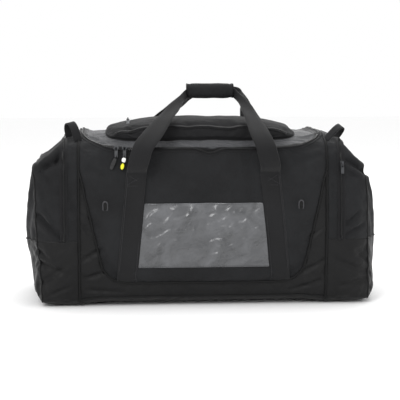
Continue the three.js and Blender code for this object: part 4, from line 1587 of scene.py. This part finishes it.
def vents(skin):
    """Oval eyelets: a rolled rim round a dark slot, the slot a flat black disc of painted shade."""
    for face_name, face in (("front", -1), ("back", 1)):
        for side in ("left", "right"):
            low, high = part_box(f"vent_{face_name}_{side}")
            middle = (low + high) / 2
            spot, normal = skin.front(middle.x, middle.z, face)
            bpy.ops.object.select_all(action="DESELECT")
            bpy.ops.mesh.primitive_torus_add(
                major_segments=36, minor_segments=10, major_radius=0.0072, minor_radius=0.0021
            )
            rim = bpy.context.object
            points = coordinates(rim)
            points[:, 1] += np.sign(points[:, 1]) * np.where(np.abs(points[:, 1]) > 1e-4, 0.0055, 0)
            points[:, 2] *= 0.7
            points[:, 0] *= 0.82
            set_coordinates(rim, points)
            # The slot is not cut through: the flat black disc made here is painted shade for the dark inside of the
            # vent; its object name ends in mesh, but no mesh is drawn.
            bpy.ops.mesh.primitive_cylinder_add(vertices=36, radius=0.0068, depth=0.0008)
            hole = bpy.context.object
            points = coordinates(hole)
            points[:, 1] += np.sign(points[:, 1]) * np.where(np.abs(points[:, 1]) > 1e-4, 0.0055, 0)
            points[:, 0] *= 0.78
            set_coordinates(hole, points)
            turn = normal.to_track_quat("Z", "Y").to_matrix().to_4x4()
            for part, name, lift, finish in (
                (rim, "rim", 0.0022, RIM_PVC),
                (hole, "mesh", 0.0018, PAINTED_HOLE_SHADE),
            ):
                part.name = part.data.name = f"vent_{face_name}_{side}_{name}"
                part.matrix_world = Matrix.Translation(spot + normal * lift) @ turn
                finish_place(part)
                part.data.polygons.foreach_set("use_smooth", [True] * len(part.data.polygons))
                dress(part, finish, "rubber_black", "bag", f"vent_{face_name}_{side}")


# ---------------------------------------------------------------- sliders and pulls


def metal_parts():
    """The sliders and tabs keep the frame's shape, with their edges tumbled round."""
    names = ["main_slider_a", "main_slider_b", "end_slider_left", "end_slider_right", "pocket_slider"]
    names += ["main_tab_a", "main_tab_b", "end_tab_left", "end_tab_right", "pocket_tab"]
    for name in names:
        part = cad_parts[name]
        part.data.materials.clear()
        part.data.materials.append(ZINC)
        weld = part.modifiers.new("weld", "WELD")
        weld.merge_threshold = 0.00002
        bevel = part.modifiers.new("tumbled_edges", "BEVEL")
        bevel.width = 0.00045
        bevel.segments = 2
        bevel.limit_method = "ANGLE"
        bevel.angle_limit = math.radians(35)


def moulded(name, length, width, depth, taper, place, finish, slot, body, *stands_for):
    """A soft moulded pull: a block drawn in towards its ends and rounded all over."""
    bpy.ops.object.select_all(action="DESELECT")
    bpy.ops.mesh.primitive_cube_add(size=1, scale=(width, depth, length))
    part = bpy.context.object
    part.name = part.data.name = name
    bpy.ops.object.transform_apply(location=False, rotation=False, scale=True)
    bpy.ops.object.mode_set(mode="EDIT")
    bpy.ops.mesh.subdivide(number_cuts=4)
    bpy.ops.object.mode_set(mode="OBJECT")
    points = coordinates(part)
    along = points[:, 2] / (length / 2)
    draw = 1 - taper * np.abs(along) ** 2
    points[:, 0] *= draw
    points[:, 1] *= 1 - 0.35 * np.abs(along) ** 2
    set_coordinates(part, points)
    modify(part, "SUBSURF", levels=2, render_levels=2)
    part.matrix_world = place
    finish_place(part)
    part.data.polygons.foreach_set("use_smooth", [True] * len(part.data.polygons))
    return dress(part, finish, slot, body, *stands_for)


def pullers():
    for letter, tilt in (("a", -24), ("b", -13)):
        low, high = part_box(f"main_tab_{letter}")
        x = (low.x + high.x) / 2
        hang = math.radians(9)
        foot = Vector((x, low.y + 0.0009, low.z + 0.0009))
        turn = Matrix.Rotation(-hang, 4, "X") @ Matrix.Rotation(math.radians(-tilt), 4, "Y")
        start = Matrix.Translation(foot) @ turn
        node, body = f"main_puller_{letter}", f"main_pull_{letter}"

        def at(drop):
            return start @ Matrix.Translation((0, 0, -drop))

        loop = [at(-0.0035) @ Vector((0, 0, 0)), at(0.004) @ Vector((0, 0, 0)), at(0.020) @ Vector((0, 0, 0))]
        lace = plain_cord(f"main_puller_{letter}_lace", loop, 0.0014)
        dress(lace, BINDING, "rubber_black", body, node)
        if letter == "a":
            moulded("main_puller_a_grip", 0.030, 0.010, 0.0052, 0.30, at(0.019), RUBBER, "rubber_black", body, node)
            for k in range(4):
                rib = moulded(
                    f"main_puller_a_rib_{k}", 0.0016, 0.0098, 0.0064, 0.1, at(0.012 + 0.0042 * k),
                    RUBBER, "rubber_black", body, node,
                )
        else:
            moulded("main_puller_b_bead", 0.0115, 0.0105, 0.0075, 0.35, at(0.008), WHITE_PVC, "rubber_white", body, node)
            moulded("main_puller_b_collar", 0.004, 0.0066, 0.0056, 0.2, at(0.0152), RUBBER, "rubber_white", body, node)
            moulded("main_puller_b_tip", 0.0155, 0.0092, 0.0060, 0.62, at(0.0245), YELLOW_PVC, "rubber_white", body, node)


# ---------------------------------------------------------------- dividers


def dividers(skin, paths):
    """The lining walls between the main compartment and the ends, slack in their seams."""
    for side, sign in (("left", -1), ("right", 1)):
        ring = softened(paths[("main", side)][0][0], True, 4)
        ring = evenly(ring + ring[:1], 0.012)[:-1]
        hub = sum(ring, Vector()) / len(ring)
        rows = 14
        points, faces = [hub.copy()], []
        for j in range(1, rows + 1):
            for q in ring:
                inward = q + (hub - q).normalized() * 0.005
                points.append(hub + (inward - hub) * (j / rows))
        count = len(ring)
        for i in range(count):
            faces.append((0, 1 + i, 1 + (i + 1) % count))
            for j in range(rows - 1):
                a, b = 1 + j * count, 1 + (j + 1) * count
                faces.append((a + i, b + i, b + (i + 1) % count, a + (i + 1) % count))
        slack = []
        for q in points:
            r = min((q - hub).length / 0.2, 1)
            sag = 0.005 * (1 - r**2) + 0.004 * (1 - r**4) * noise.fractal(Vector((q.y * 9, q.z * 7, sign)), 1, 2, 3)
            slack.append(q + Vector((sign * (sag - 0.001), 0, 0)))
        wall = new_mesh(f"divider_{side}_lining", slack, faces)
        recalculate_faces(wall)
        modify(wall, "SOLIDIFY", thickness=0.0016, offset=0.0)
        cloth_uv(wall)
        dress(wall, LINING, "lining", "bag", f"divider_{side}")


camera()
studio()
surface, seam_paths = sewn_skin()
skin = Skin(surface)
piping(skin, seam_paths)
main_zip(skin)
end_zips(skin, seam_paths)
handle_webbing(skin)
grab_loops(skin)
grip()
grip_flap()
lid_pocket(skin)
name_panel(skin)
vents(skin)
metal_parts()
pullers()
dividers(skin, seam_paths)
